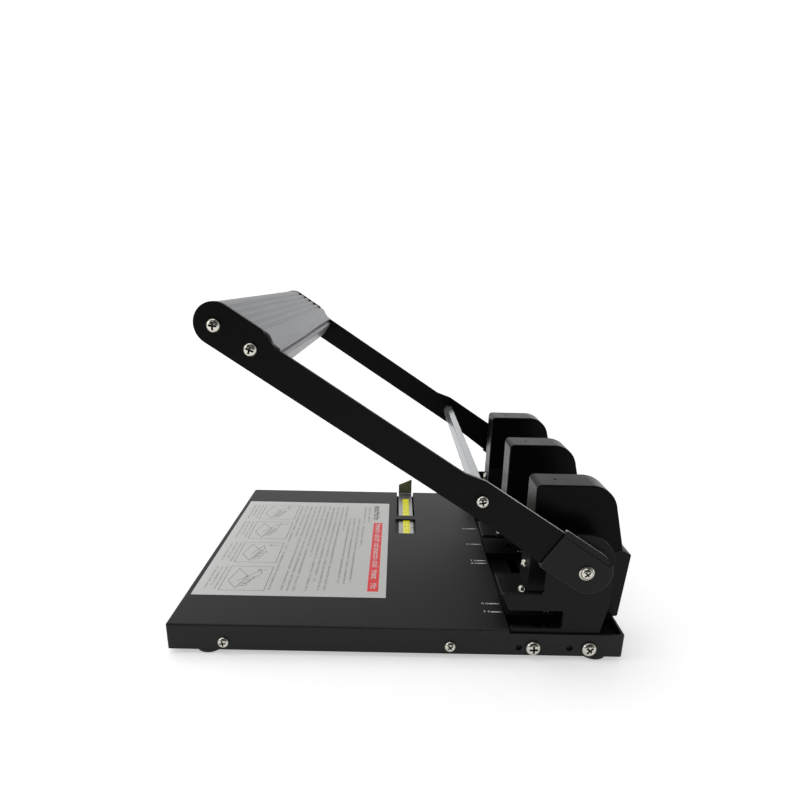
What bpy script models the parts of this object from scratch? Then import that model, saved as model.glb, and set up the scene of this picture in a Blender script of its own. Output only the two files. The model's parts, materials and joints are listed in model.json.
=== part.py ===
"""Three-hole lever punch with sliding heads, built from separate pieces.

Metres, +Z up. The user sits at -Y and pulls the grip down. The origin is on the floor,
under the middle of the machine. Heights named below are measured from the top face of the
paper table. Places from front to back are measured from the outside of the base's rear wall,
forward being minus, for all that stands at the rear, and else from the middle of the base.
"""
import math

import bmesh
import bpy
from mathutils import Matrix, Vector

# Gaps and overruns
gap = 0.0003
slide_gap = 0.0005
overrun = 0.001

# Base
hole_spacing = 0.108
base_side_room = 0.0383
base_length = 0.321
base_height = 0.020
sheet = 0.0015
bend_radius = 0.0016
table_rear = -0.081
table_lip_depth = 0.007
rear_wall_drop = 0.0029
bottom_sheet = 0.0012
bottom_flange_height = 0.0098
bottom_flange_rear = -0.0845
foot_height = 0.0035
foot_radius = 0.009
foot_chamfer = 0.0007
foot_neck_radius = 0.004
foot_inset_x = 0.0093
foot_front_inset = 0.0275
foot_rear_inset = 0.018

# Screws: head radius, head height, shank radius, shank length
small_screw = (0.0039, 0.0024, 0.0020, 0.0085)
large_screw = (0.0051, 0.0031, 0.0027, 0.0110)
lever_screw = (0.0042, 0.0030, 0.0022, 0.0120)
pivot_screw = (0.0042, 0.0024, 0.0022, 0.0120)
column_screw = (0.0036, 0.0026, 0.0012, 0.0014)
foot_screw = (0.0029, 0.0041, 0.0014, 0.0018)
lock_screw = (0.0031, 0.0029, 0.0017, 0.0063)
screw_chamfer_share = 0.45
screw_crown_share = 0.55

# Screws through the side walls
side_screw_z = -0.0138
small_screw_insets = (0.0397, 0.1217)
bracket_screw_y = (-0.0633, -0.024)
spare_hole_y = (-0.0732, -0.0376)
spare_hole_radius = 0.0024

# Side plates that carry the main shaft
plate = 0.003
side_plate_front = -0.059
side_plate_rear = -0.0137
side_plate_top = 0.0715
side_plate_crown = 0.021
side_plate_toe = -0.0799
side_plate_heel = -0.0175
side_plate_heel_top = 0.018
side_plate_heel_bottom = -0.002
throat_height = 0.0145
throat_rise = 0.0008
throat_back = -0.0443
throat_corner = 0.0015
nose_low_front = -0.0823
nose_high_front = -0.0877
nose_top = 0.027
nose_corner = 0.001

# Main shaft and its axis, which is the lever's pivot
pivot_y = -0.034
pivot_z = 0.0468
shaft_flats = 0.012
journal_radius = 0.006
drive_square = 0.0085
shaft_thread_depth = 0.016

# Bed plate under the heads
bed_thickness = 0.003
bed_drop = 0.0067
bed_front = -0.079
bed_rear = -0.003
chip_slot_width = 0.0086
chip_slot_end_room = 0.009

# Chip tray
tray_side_room = 0.0283
tray_front = -0.077
tray_wall = 0.0012
tray_lip_reach = 0.0032
tray_lip_thickness = 0.0016
tray_panel_margin = 0.0014

# Paper stop ruler
ruler_proud = 0.001
ruler_right = 0.052
ruler_front = 0.0026
ruler_width = 0.0144
ruler_thickness = 0.001
tab_low = 0.0084
tab_high = 0.0151
tab_crown = 0.0015
detent_x = -0.044
detent_radius = 0.0012
ruler_notch_front = 0.0007
ruler_notch_rear = 0.0186
ruler_notch_end = -0.072
ruler_notch_mouth = 0.002
ruler_wall_cut = 0.0052
window_left = -0.062
window_right = -0.025
window_front = -0.0008
window_rear = 0.0192
guide_left = -0.060
guide_right = 0.070
guide_wall = 0.0038
guide_floor = 0.0019

# Punch heads
head_slide_out = 0.012
head_slide_in = 0.068
paper_margin = 0.012
stop_y = -0.045
pin_radius = 0.0031
cover_width = 0.0275
foot_width = 0.033
cover_front = -0.0657
cover_top = 0.0986
cover_wall = 0.0018
cover_low_front = 0.045
cover_low_rear = 0.051
cover_rear_top = -0.0128
cover_rear_low = -0.0005
cover_front_radius = 0.0035
cover_rear_radius = 0.020
cover_edge = 0.001
cover_notch_gap = 0.0006
cover_hole_y = -0.0505
cover_hole_radius = 0.0012
jaw_front = -0.0799
jaw_rear = -0.0021
frame_foot_front = -0.0845
frame_foot_thickness = 0.0025
frame_foot_lead = 0.0012
frame_rear_top = 0.0055
frame_rear_low = 0.0021
frame_rear_bevel = 0.0026
frame_overhang_z = -0.0014
frame_edge = 0.0015
inner_front = -0.0633
inner_top = 0.066
inner_shoulder = (-0.0145, 0.060)
inner_heel = (-0.004, 0.052)
inner_side_gap = 0.0003
guide_top = 0.031
slot_half_width = 0.0074
slot_rear = -0.0185
bridge_bottom = 0.062
bridge_rear = -0.049
column_screw_z = 0.033
foot_screw_x = 0.012
foot_screw_y = -0.0692
lock_screw_x = 0.0105
lock_screw_y = -0.049
lock_screw_sink = 0.0003

# Rockers, punch pins and return springs
lever_swing = math.radians(39.4)
rocker_radius = 0.0237
rocker_nose = 0.0042
rocker_hub = 0.0105
rocker_half_width = 0.0069
rocker_relief_reach = 0.0155
rocker_relief_rise = -0.0009
fork_half_slot = 0.0035
fork_depth = 0.0086
pin_tip_z = 0.0147
pin_cup = 0.0011
collar_radius = 0.0062
collar_thickness = 0.003
pin_top = 0.0944
cap_radius = 0.0052
cap_thickness = 0.0022
spring_radius = 0.0047
spring_wire = 0.00055
spring_turns = 6
spring_points = 9

# Lever: measured along the arm from the pivot, and square to it
lever_angle = math.radians(32.9)
arm_clearance = 0.0005
arm_low = -0.0102
arm_low_pivot = -0.012
arm_taper_start = 0.032
arm_taper_end = 0.060
arm_high = 0.0104
arm_high_pivot = 0.0138
arm_rise_start = 0.107
arm_rise_end = 0.093
arm_pivot_end = -0.015
arm_pivot_radius = 0.0125
paddle_neck = 0.246
paddle_ramp = 0.012
paddle_length = 0.0493
paddle_high = 0.0152
paddle_blend = 0.007
paddle_radius = 0.0126
tie_reach = 0.0869
screw_rise = 0.0014
grip_screw_low_inset = 0.0374
grip_screw_high_inset = 0.0127
tie_flats = 0.0095
boot_end = -0.0176
boot_front = 0.029
boot_low = -0.014
boot_high = 0.0162
boot_cap = 0.0016
boot_step_rise = 0.0118
boot_step_depth = 0.0007
boot_corner = 0.0012
washer_radius = 0.0051
washer_thickness = 0.0008

# Grip
grip_wall = 0.0024
grip_inset = 0.0004
grip_nose_length = 0.0055
grip_nose_rise = 0.0035
grip_nose_radius = 0.006
grip_seam_length = 0.0025
grip_heel_length = 0.004
grip_seam_gap = 0.0006
grip_rib_pitch = 0.0056
grip_rib_depth = 0.0011
grip_rib_count = 5
grip_rib_start_length = 0.0115
grip_boss_radius = 0.0046

# Facets
arc_steps = 5
round_steps = 16
bore_steps = 24
screw_steps = 14
foot_steps = 18
pin_steps = 20
hole_steps = 12
notch_steps = 8
nose_steps = 8
hub_steps = 12

# Derived sizes
table_height = foot_height + base_height
half_width = hole_spacing + base_side_room
half_length = base_length / 2
inner_half_width = half_width - sheet
inner_half_length = half_length - sheet
tray_half_width = half_width - tray_side_room
small_screw_y = (small_screw_insets[0] - half_length, half_length - small_screw_insets[1])
plate_outer = inner_half_width - gap
plate_inner = plate_outer - plate
bed_half_width = plate_inner - gap
bed_top = -bed_drop
bed_bottom = bed_top - bed_thickness
pin_y = stop_y - paper_margin
bore_radius = pin_radius + gap
foot_top = throat_height + frame_foot_thickness
lock_seat = -lock_screw_sink - lock_screw[1]
jaw_bottom = bed_top + gap
tray_bottom = -base_height + bottom_sheet + gap
tray_top = bed_bottom - 2 * gap
ruler_left = -half_width - ruler_proud
ruler_top = -sheet - gap
ruler_bottom = ruler_top - ruler_thickness
arm_inner = plate_outer + arm_clearance
arm_outer = arm_inner + plate
grip_half_length = arm_inner - gap
paddle_start = paddle_neck + paddle_ramp
paddle_end = paddle_neck + paddle_length
grip_screw_reach = (paddle_end - grip_screw_low_inset, paddle_end - grip_screw_high_inset)
grip_nose_reach = paddle_neck - grip_nose_length
grip_seam_reach = paddle_neck - grip_seam_length
grip_low_reach = paddle_neck + grip_heel_length
grip_rib_start = paddle_neck + grip_rib_start_length
rocker_rest = lever_swing / 2
shaft_reach = shaft_flats / 2 / math.cos(math.pi / 6)


def tidy_scene():
    """Empty the file of objects before building."""
    for thing in list(bpy.data.objects):
        bpy.data.objects.remove(thing, do_unlink=True)


def paint(name, colour, roughness, metallic):
    """A plain finish: colour, roughness and metallic value."""
    material = bpy.data.materials.new(name)
    material.use_nodes = True
    shader = material.node_tree.nodes["Principled BSDF"]
    shader.inputs["Base Color"].default_value = (*colour, 1.0)
    shader.inputs["Roughness"].default_value = roughness
    shader.inputs["Metallic"].default_value = metallic
    material.diffuse_color = (*colour, 1.0)
    return material


FINISHES = {
    "black_paint": ((0.035, 0.035, 0.038), 0.42, 0.0),
    "black_steel": ((0.045, 0.045, 0.050), 0.38, 0.6),
    "black_plastic": ((0.030, 0.030, 0.033), 0.36, 0.0),
    "silver_grip": ((0.56, 0.58, 0.60), 0.38, 0.7),
    "bright_steel": ((0.72, 0.73, 0.74), 0.24, 1.0),
    "nickel": ((0.74, 0.72, 0.67), 0.22, 1.0),
    "spring_steel": ((0.50, 0.50, 0.52), 0.30, 1.0),
    "ruler_steel": ((0.58, 0.58, 0.60), 0.34, 1.0),
    "rubber": ((0.020, 0.020, 0.020), 0.80, 0.0),
}


def empty(name, location=(0, 0, 0), turn_x=0.0, parent=None):
    """An axis or group that pieces hang from."""
    thing = bpy.data.objects.new(name, None)
    thing.location = location
    thing.rotation_euler = (turn_x, 0, 0)
    thing.parent = parent
    bpy.context.scene.collection.objects.link(thing)
    return thing


def mesh_object(name, form, parent=None, location=(0, 0, 0), rotation=(0, 0, 0)):
    """Turn a bmesh into an object of its own, faces out."""
    bmesh.ops.recalc_face_normals(form, faces=form.faces)
    mesh = bpy.data.meshes.new(name)
    form.to_mesh(mesh)
    form.free()
    thing = bpy.data.objects.new(name, mesh)
    thing.parent = parent
    thing.location = location
    thing.rotation_euler = rotation
    bpy.context.scene.collection.objects.link(thing)
    return thing


def along(axis, a, b, c):
    """A point with a and b across the axis and c along it."""
    return {"X": Vector((c, a, b)), "Y": Vector((a, c, b)), "Z": Vector((a, b, c))}[axis]


def prism(name, outline, axis, low, high, **place):
    """Extrude a closed outline along X, Y or Z."""
    form = bmesh.new()
    ring = [form.verts.new(along(axis, a, b, low)) for a, b in outline]
    face = form.faces.new(ring)
    grown = bmesh.ops.extrude_face_region(form, geom=[face])
    moved = [item for item in grown["geom"] if isinstance(item, bmesh.types.BMVert)]
    bmesh.ops.translate(form, verts=moved, vec=along(axis, 0, 0, high - low))
    return mesh_object(name, form, **place)


def block(name, x, y, z, **place):
    """A box between two limits on each axis."""
    outline = [(x[0], y[0]), (x[1], y[0]), (x[1], y[1]), (x[0], y[1])]
    return prism(name, outline, "Z", z[0], z[1], **place)


def circle(radius, steps, a=0.0, b=0.0, start=0.0):
    """Points round a circle."""
    turn = 2 * math.pi / steps
    return [(a + radius * math.cos(start + turn * i), b + radius * math.sin(start + turn * i))
            for i in range(steps)]


def rod(name, radius, axis, centre, low, high, steps=bore_steps, **place):
    """A round bar along X, Y or Z."""
    return prism(name, circle(radius, steps, *centre), axis, low, high, **place)


def polygon(flats, sides, start=0.0):
    """A regular polygon of a given size across its flats."""
    return circle(flats / 2 / math.cos(math.pi / sides), sides, start=start)


def rounded(corners):
    """Points of an outline whose corners, given as (a, b, radius), are turned into arcs."""
    points = []
    count = len(corners)
    for index, (a, b, radius) in enumerate(corners):
        here = Vector((a, b))
        if not radius:
            points.append((a, b))
            continue
        before = (Vector(corners[index - 1][:2]) - here).normalized()
        after = (Vector(corners[(index + 1) % count][:2]) - here).normalized()
        half = before.angle(after) / 2
        middle = here + (before + after).normalized() * (radius / math.sin(half))
        first = here + before * (radius / math.tan(half)) - middle
        last = here + after * (radius / math.tan(half)) - middle
        sweep = first.angle_signed(last)
        for step in range(arc_steps + 1):
            arm = first.copy()
            arm.rotate(Matrix.Rotation(-sweep * step / arc_steps, 2))
            points.append(tuple(middle + arm))
    return points


def lathe(name, profile, steps=round_steps, **place):
    """Spin a profile of (radius, height) about Z. It starts and ends on the axis."""
    form = bmesh.new()
    chain = [form.verts.new((radius, 0, height)) for radius, height in profile]
    edges = [form.edges.new(pair) for pair in zip(chain, chain[1:])]
    bmesh.ops.spin(form, geom=chain + edges, cent=(0, 0, 0), axis=(0, 0, 1),
                   angle=2 * math.pi, steps=steps, use_merge=True)
    bmesh.ops.remove_doubles(form, verts=form.verts, dist=gap / 100)
    return mesh_object(name, form, **place)


def helper(thing):
    """Mark an object as a cutter or a joining shape."""
    thing.hide_render = True
    thing.display_type = "WIRE"
    return thing


def combine(target, operation, *others):
    """Cut others from the target, or join them to it."""
    for other in others:
        modifier = target.modifiers.new(other.name, "BOOLEAN")
        modifier.operation = operation
        modifier.solver = "EXACT"
        modifier.object = helper(other)
    return target


def cut(target, *others):
    return combine(target, "DIFFERENCE", *others)


def join(target, *others):
    return combine(target, "UNION", *others)


def settle(thing):
    """Apply a piece's modifiers, so that copies can share its mesh."""
    bpy.context.view_layer.update()
    graph = bpy.context.evaluated_depsgraph_get()
    mesh = bpy.data.meshes.new_from_object(thing.evaluated_get(graph))
    mesh.name = thing.name
    for modifier in list(thing.modifiers):
        bpy.data.objects.remove(modifier.object, do_unlink=True)
    bpy.data.objects.remove(thing, do_unlink=True)
    return mesh


def piece(name, mesh, finish, parent, location=(0, 0, 0), rotation=(0, 0, 0)):
    """Place a named piece that uses a settled mesh."""
    thing = bpy.data.objects.new(name, mesh)
    if not mesh.materials:
        mesh.materials.append(finish)
    thing.parent = parent
    thing.location = location
    thing.rotation_euler = rotation
    bpy.context.scene.collection.objects.link(thing)
    return thing


def finish_piece(thing, finish, smooth=True):
    """Give an object its finish, and shade its round faces smooth."""
    thing.data.materials.clear()
    thing.data.materials.append(finish)
    if smooth:
        thing.data.shade_smooth()
        thing.data.set_sharp_from_angle(angle=math.radians(35))
    return thing


def smooth_mesh(mesh):
    mesh.shade_smooth()
    mesh.set_sharp_from_angle(angle=math.radians(35))
    return mesh


def rounded_box(name, x, y, z, radius, keep_bottom, **place):
    """A box whose edges are bent round, apart from its bottom ones where asked."""
    thing = block(name, x, y, z, **place)
    form = bmesh.new()
    form.from_mesh(thing.data)
    edges = [edge for edge in form.edges
             if not (keep_bottom and all(vert.co.z < z[0] + gap for vert in edge.verts))]
    bmesh.ops.bevel(form, geom=edges, offset=radius, segments=3, profile=0.5,
                    affect="EDGES", clamp_overlap=True)
    form.to_mesh(thing.data)
    form.free()
    return thing


def drill(thing, radius, places, level):
    """Round holes along X through a whole piece, at given y, all at the side screws' height."""
    reach = half_width + overrun
    for number, y in enumerate(places):
        name = "hole_%s_%d_%d" % (thing.name, round(radius / gap), number)
        cut(thing, rod(name, radius, "X", (y, side_screw_z), -reach, reach, steps=round_steps,
                       parent=level))


def base_shell(level, rear, finish):
    """Folded sheet: paper table, front, side and rear walls, open below and behind."""
    wide = half_width + overrun
    deep = half_length + overrun
    floor = -base_height - overrun
    shell = rounded_box("base_shell", (-half_width, half_width), (-half_length, half_length),
                        (-base_height, 0), bend_radius, True, parent=level)
    inner = (-inner_half_width, inner_half_width)
    table_end = half_length + table_rear
    lip_front = table_end - sheet
    cut(shell,
        block("under_table", inner, (-inner_half_length, lip_front), (floor, -sheet), parent=level),
        block("under_lip", inner, (lip_front - overrun, table_end + overrun),
              (floor, -table_lip_depth), parent=level),
        block("rear_channel", inner, (table_end, inner_half_length), (floor, overrun), parent=level),
        block("wall_step", (-wide, wide), (table_end, deep), (-rear_wall_drop, overrun), parent=level),
        block("tray_opening", (-tray_half_width - tray_panel_margin - slide_gap,
                               tray_half_width + tray_panel_margin + slide_gap),
              (inner_half_length - overrun, deep), (tray_bottom - slide_gap, tray_top + slide_gap),
              parent=level))
    mouth = ruler_notch_mouth
    notch = rounded([(-wide, ruler_notch_front - mouth, 0), (-half_width, ruler_notch_front - mouth, 0),
                     (-half_width + mouth, ruler_notch_front, mouth),
                     (ruler_notch_end, ruler_notch_front, 0), (ruler_notch_end, ruler_notch_rear, 0),
                     (-half_width + mouth, ruler_notch_rear, mouth),
                     (-half_width, ruler_notch_rear + mouth, 0), (-wide, ruler_notch_rear + mouth, 0)])
    cut(shell,
        prism("ruler_notch", notch, "Z", -sheet - overrun, overrun, parent=level),
        block("ruler_wall_cut", (-wide, -inner_half_width + overrun),
              (ruler_notch_front, ruler_notch_rear), (-ruler_wall_cut, overrun), parent=level),
        block("ruler_window", (window_left, window_right), (window_front, window_rear),
              (-sheet - overrun, overrun), parent=level))
    drill(shell, small_screw[2] + gap, small_screw_y, level)
    drill(shell, large_screw[2] + gap, bracket_screw_y, rear)
    drill(shell, spare_hole_radius, spare_hole_y, rear)
    return finish_piece(shell, finish)


def bottom_plate(level, finish):
    """Floor sheet with two upturned flanges that the small screws hold."""
    half = inner_half_width - gap
    floor = -base_height
    top = floor + bottom_sheet
    flange_top = top + bottom_flange_height
    flange_in = half - bottom_sheet
    outline = [(-half, floor), (half, floor), (half, flange_top), (flange_in, flange_top),
               (flange_in, top), (-flange_in, top), (-flange_in, flange_top), (-half, flange_top)]
    ends = inner_half_length - gap
    tray = prism("bottom_plate", outline, "Y", -ends, ends, parent=level)
    wide = half + overrun
    cut(tray, block("flange_end", (-wide, wide), (half_length + bottom_flange_rear, ends + overrun),
                    (top, flange_top + overrun), parent=level))
    for number, (x, y) in enumerate(foot_places()):
        cut(tray, rod("foot_hole_%d" % number, foot_neck_radius + gap, "Z", (x, y),
                      floor - overrun, top + overrun, steps=round_steps, parent=level))
    drill(tray, small_screw[2] + gap, small_screw_y, level)
    return finish_piece(tray, finish)


def foot_places():
    reach = half_width - foot_inset_x
    front = foot_front_inset - half_length
    back = half_length - foot_rear_inset
    return [(x, y) for x in (-reach, reach) for y in (front, back)]


def feet(level, finish):
    """Push-in rubber feet."""
    pad_top = foot_height - gap
    neck_top = foot_height + bottom_sheet
    mesh = settle(lathe("foot", [
        (0, 0), (foot_radius - foot_chamfer, 0), (foot_radius, foot_chamfer),
        (foot_radius, pad_top), (foot_neck_radius, pad_top), (foot_neck_radius, neck_top),
        (0, neck_top)], steps=foot_steps))
    smooth_mesh(mesh)
    names = ("foot_left_front", "foot_left_rear", "foot_right_front", "foot_right_rear")
    for name, (x, y) in zip(names, foot_places()):
        piece(name, mesh, finish, level, (x, y, -table_height))


def bed_plate(rear, finish):
    """Channel-shaped bed that the heads stand on, with a slot that drops chips."""
    half = bed_half_width
    low = tray_bottom
    outline = [(-half, low), (-half + bed_thickness, low), (-half + bed_thickness, bed_bottom),
               (half - bed_thickness, bed_bottom), (half - bed_thickness, low), (half, low),
               (half, bed_top), (-half, bed_top)]
    bed = prism("bed_plate", outline, "Y", bed_front, bed_rear, parent=rear)
    chip_reach = hole_spacing + head_slide_out + chip_slot_end_room
    cut(bed, block("chip_slot", (-chip_reach, chip_reach),
                   (pin_y - chip_slot_width / 2, pin_y + chip_slot_width / 2),
                   (bed_bottom - overrun, bed_top + overrun), parent=rear))
    lock = lock_screw[2] + slide_gap
    for side in (-1, 1):
        out = side * (hole_spacing + head_slide_out)
        inward = side * (hole_spacing - head_slide_in)
        low, high = sorted((out, inward))
        cut(bed, block("lock_slot_%d" % side, (low + lock_screw_x - lock, high + lock_screw_x + lock),
                       (lock_screw_y - lock, lock_screw_y + lock),
                       (bed_bottom - overrun, bed_top + overrun), parent=rear))
    cut(bed, rod("centre_lock_hole", lock_screw[2] + gap, "Z", (lock_screw_x, lock_screw_y),
                 bed_bottom - overrun, bed_top + overrun, steps=round_steps, parent=rear))
    drill(bed, large_screw[2] + gap, bracket_screw_y, rear)
    return finish_piece(bed, finish)


def side_plates(rear, finish):
    """Two plates with rounded crowns that carry the main shaft and leave the throat open."""
    bottom = tray_bottom
    outline = rounded([
        (side_plate_toe, bottom, 0), (side_plate_toe, throat_rise, throat_corner),
        (throat_back, throat_rise, 0), (throat_back, throat_height, throat_corner),
        (nose_low_front, throat_height, nose_corner), (nose_high_front, nose_top, nose_corner),
        (side_plate_front, nose_top, nose_corner),
        (side_plate_front, side_plate_top, side_plate_crown),
        (side_plate_rear, side_plate_top, side_plate_crown),
        (side_plate_rear, side_plate_heel_top, 0), (side_plate_heel, side_plate_heel_bottom, 0),
        (side_plate_heel, bottom, 0)])
    for name, low, high in (("side_plate_left", -plate_outer, -plate_inner),
                            ("side_plate_right", plate_inner, plate_outer)):
        side = prism(name, outline, "X", low, high, parent=rear)
        cut(side, rod("journal_" + name, journal_radius + gap, "X", (pivot_y, pivot_z),
                      low - overrun, high + overrun, parent=rear))
        drill(side, large_screw[2] + gap, bracket_screw_y, rear)
        finish_piece(side, finish)


def chip_tray(rear, finish):
    """Shallow drawer under the bed, pulled out behind by its lip."""
    back = -sheet - 2 * gap
    half = tray_half_width
    wall = tray_wall
    tray = block("chip_tray", (-half, half), (tray_front, back), (tray_bottom, tray_top), parent=rear)
    panel = half + tray_panel_margin
    lip = tray_lip_thickness
    outline = rounded([(back - wall, tray_bottom, 0), (tray_lip_reach, tray_bottom, lip / 2),
                       (tray_lip_reach, tray_bottom + lip, lip / 2 - gap), (0, tray_bottom + lip, 0),
                       (0, tray_top, 0), (back - wall, tray_top, 0)])
    cut(tray, block("tray_hollow", (-half + wall, half - wall), (tray_front + wall, back + overrun),
                    (tray_bottom + wall, tray_top + overrun), parent=rear))
    join(tray, prism("tray_panel", outline, "X", -panel, panel, parent=rear))
    return finish_piece(tray, finish)


def ruler(level, finish):
    """Paper stop: a strip that slides out of the far side, with an upturned tab."""
    rear = ruler_front + ruler_width
    strip = block("ruler", (ruler_left, ruler_right), (ruler_front, rear), (ruler_bottom, ruler_top),
                  parent=level)
    outline = rounded([(ruler_front, ruler_bottom, 0), (rear, ruler_bottom, 0),
                       (rear, tab_high, tab_crown), (ruler_front, tab_low, 0)])
    join(strip, prism("ruler_tab", outline, "X", ruler_left, ruler_left + ruler_thickness, parent=level))
    cut(strip, rod("detent", detent_radius, "Z", (detent_x, rear), ruler_bottom - overrun,
                   ruler_top + overrun, steps=round_steps, parent=level))
    return finish_piece(strip, finish)


def ruler_guide(level, finish):
    """Channel under the table that holds the ruler up."""
    low = ruler_bottom - gap
    front = ruler_front - gap
    rear = ruler_front + ruler_width + gap
    outline = [(front - guide_wall, low - guide_floor), (rear + guide_wall, low - guide_floor),
               (rear + guide_wall, ruler_top), (rear, ruler_top), (rear, low), (front, low),
               (front, ruler_top), (front - guide_wall, ruler_top)]
    return finish_piece(prism("ruler_guide", outline, "X", guide_left, guide_right, parent=level), finish)


def head_frame_mesh():
    """C-shaped frame of one head: lower jaw with die, back, upper jaw, guide and two cheeks."""
    half = cover_width / 2
    wide = foot_width / 2
    low_front = cover_low_front - gap
    low_rear = cover_low_rear - gap
    body = prism("frame", rounded([
        (stop_y, jaw_bottom + gap, 0), (stop_y, throat_height + gap, 0),
        (cover_front, throat_height + gap, 0), (cover_front, low_front, 0),
        (cover_rear_low, low_rear, 0), (frame_rear_top, low_rear - frame_rear_bevel, frame_edge),
        (frame_rear_low, frame_overhang_z, frame_edge), (jaw_rear - overrun, frame_overhang_z, 0),
        (jaw_rear - overrun, jaw_bottom + gap, 0)]), "X", -half, half)
    foot = prism("frame_foot", rounded([
        (frame_foot_front, throat_height, frame_foot_lead), (stop_y + gap, throat_height, 0),
        (stop_y + gap, foot_top, 0), (frame_foot_front, foot_top, frame_foot_lead - gap)]),
        "X", -wide, wide)
    jaw = block("frame_jaw", (-wide, wide), (jaw_front, jaw_rear), (jaw_bottom, 0))
    inner = half - cover_wall - inner_side_gap
    cheeks = prism("frame_cheeks", [
        (inner_front, low_front - frame_edge), (inner_front, inner_top), (bridge_rear, inner_top),
        inner_shoulder, inner_heel, (inner_heel[0], low_front - frame_edge)], "X", -inner, inner)
    join(body, foot, jaw, cheeks)
    slot_front = pin_y - collar_radius - slide_gap
    slot = (-slot_half_width, slot_half_width)
    high = inner_top + overrun
    cut(body,
        block("rocker_slot", slot, (slot_front, slot_rear), (guide_top, bridge_bottom)),
        block("rocker_slot_top", slot, (bridge_rear, slot_rear), (bridge_bottom - overrun, high)),
        rod("pin_bore", bore_radius, "Z", (0, pin_y), jaw_bottom - overrun, high),
        rod("shaft_bore", shaft_reach + gap, "X", (pivot_y, pivot_z), -half - overrun, half + overrun),
        rod("foot_screw_hole", foot_screw[2] + gap, "Z", (foot_screw_x, foot_screw_y),
            throat_height - overrun, foot_top + overrun, steps=round_steps),
        rod("column_screw_hole", column_screw[2] + gap, "Y", (0, column_screw_z),
            cover_front - overrun, cover_front + column_screw[3] + gap, steps=round_steps),
        rod("lock_seat", lock_screw[0] + gap, "Z", (lock_screw_x, lock_screw_y), lock_seat - gap,
            overrun, steps=round_steps),
        rod("lock_hole", lock_screw[2] + gap, "Z", (lock_screw_x, lock_screw_y), jaw_bottom - overrun,
            lock_seat, steps=round_steps))
    return settle(body)


def cover_outline(inset, drop):
    """Side outline of a head cover, or of the hollow inside it."""
    slope = (cover_rear_low - cover_rear_top) / (cover_top - cover_low_rear)
    rear_low = cover_rear_low + slope * drop - inset
    front_radius = max(cover_front_radius - inset, gap)
    return rounded([
        (cover_front + inset, cover_low_front - drop, 0),
        (cover_front + inset, cover_top - inset, front_radius),
        (cover_rear_top - inset, cover_top - inset, cover_rear_radius - inset),
        (rear_low, cover_low_rear - drop, 0)])


def head_cover_mesh():
    """Moulded cover with a square front, a flat top and a large rear radius."""
    half = cover_width / 2
    shell = prism("cover", cover_outline(0.0, 0.0), "X", -half, half)
    form = bmesh.new()
    form.from_mesh(shell.data)
    rims = [edge for edge in form.edges
            if abs(edge.verts[0].co.x - edge.verts[1].co.x) < gap
            and max(vert.co.z for vert in edge.verts) > cover_low_rear + gap]
    bmesh.ops.bevel(form, geom=rims, offset=cover_edge, segments=2, profile=0.5, affect="EDGES",
                    clamp_overlap=True)
    form.to_mesh(shell.data)
    form.free()
    inner = half - cover_wall
    notch = shaft_reach + cover_notch_gap
    arch = [(pivot_y - notch, cover_low_front - overrun), (pivot_y + notch, cover_low_front - overrun)]
    arch += [(pivot_y + notch * math.cos(math.pi * step / notch_steps),
              pivot_z + notch * math.sin(math.pi * step / notch_steps)) for step in range(notch_steps + 1)]
    cut(shell,
        prism("cover_hollow", cover_outline(cover_wall, overrun), "X", -inner, inner),
        prism("cover_notch", arch, "X", -half - overrun, half + overrun),
        rod("cover_hole", cover_hole_radius, "Z", (0, cover_hole_y), cover_top - cover_wall - overrun,
            cover_top + overrun, steps=hole_steps))
    return settle(shell)


def rocker_outline():
    """Hub round the shaft and a hooked nose that presses the pin, drawn as it stands at rest."""
    top = math.acos((rocker_hub - rocker_nose) / rocker_radius)
    hook = Vector((rocker_radius - rocker_relief_reach, -rocker_relief_rise))
    nose_low = math.atan2(-hook.y, -hook.x) + math.acos(rocker_nose / hook.length)
    relief = Vector((rocker_relief_reach, rocker_relief_rise))
    hub_low = math.atan2(relief.y, relief.x) - math.acos(rocker_hub / relief.length)
    points = []
    for step in range(nose_steps + 1):
        angle = top + (nose_low - top) * step / nose_steps
        points.append((rocker_radius + rocker_nose * math.cos(angle), rocker_nose * math.sin(angle)))
    points.append(tuple(relief))
    for step in range(hub_steps + 1):
        angle = hub_low + (top - 2 * math.pi - hub_low) * step / hub_steps
        points.append((rocker_hub * math.cos(angle), rocker_hub * math.sin(angle)))
    cosine, sine = math.cos(rocker_rest), math.sin(rocker_rest)
    return [(v * sine - u * cosine, u * sine + v * cosine) for u, v in points]


def rocker_mesh():
    """Forked rocker keyed on the hexagonal shaft."""
    body = prism("rocker", rocker_outline(), "X", -rocker_half_width, rocker_half_width)
    reach = rocker_half_width + overrun
    hexagon = prism("rocker_key", polygon(shaft_flats + 2 * gap, 6), "X", -reach, reach)
    fork = block("rocker_fork", (-fork_half_slot, fork_half_slot),
                 (pin_y - pivot_y - collar_radius - rocker_nose, pin_y - pivot_y + fork_depth),
                 (-rocker_radius, rocker_radius))
    cut(body, hexagon, fork)
    return settle(body)


def punch_pin_mesh():
    """Punch pin with a cupped tip, the collar the rocker presses, and the spring's cap."""
    collar_top = pivot_z + rocker_radius * math.sin(rocker_rest) - rocker_nose - gap / 2
    return settle(lathe("punch_pin", [
        (0, pin_tip_z + pin_cup), (pin_radius, pin_tip_z), (pin_radius, collar_top - collar_thickness),
        (collar_radius, collar_top - collar_thickness), (collar_radius, collar_top),
        (pin_radius, collar_top), (pin_radius, pin_top - cap_thickness),
        (cap_radius, pin_top - cap_thickness), (cap_radius, pin_top), (0, pin_top)], steps=pin_steps))


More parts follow.
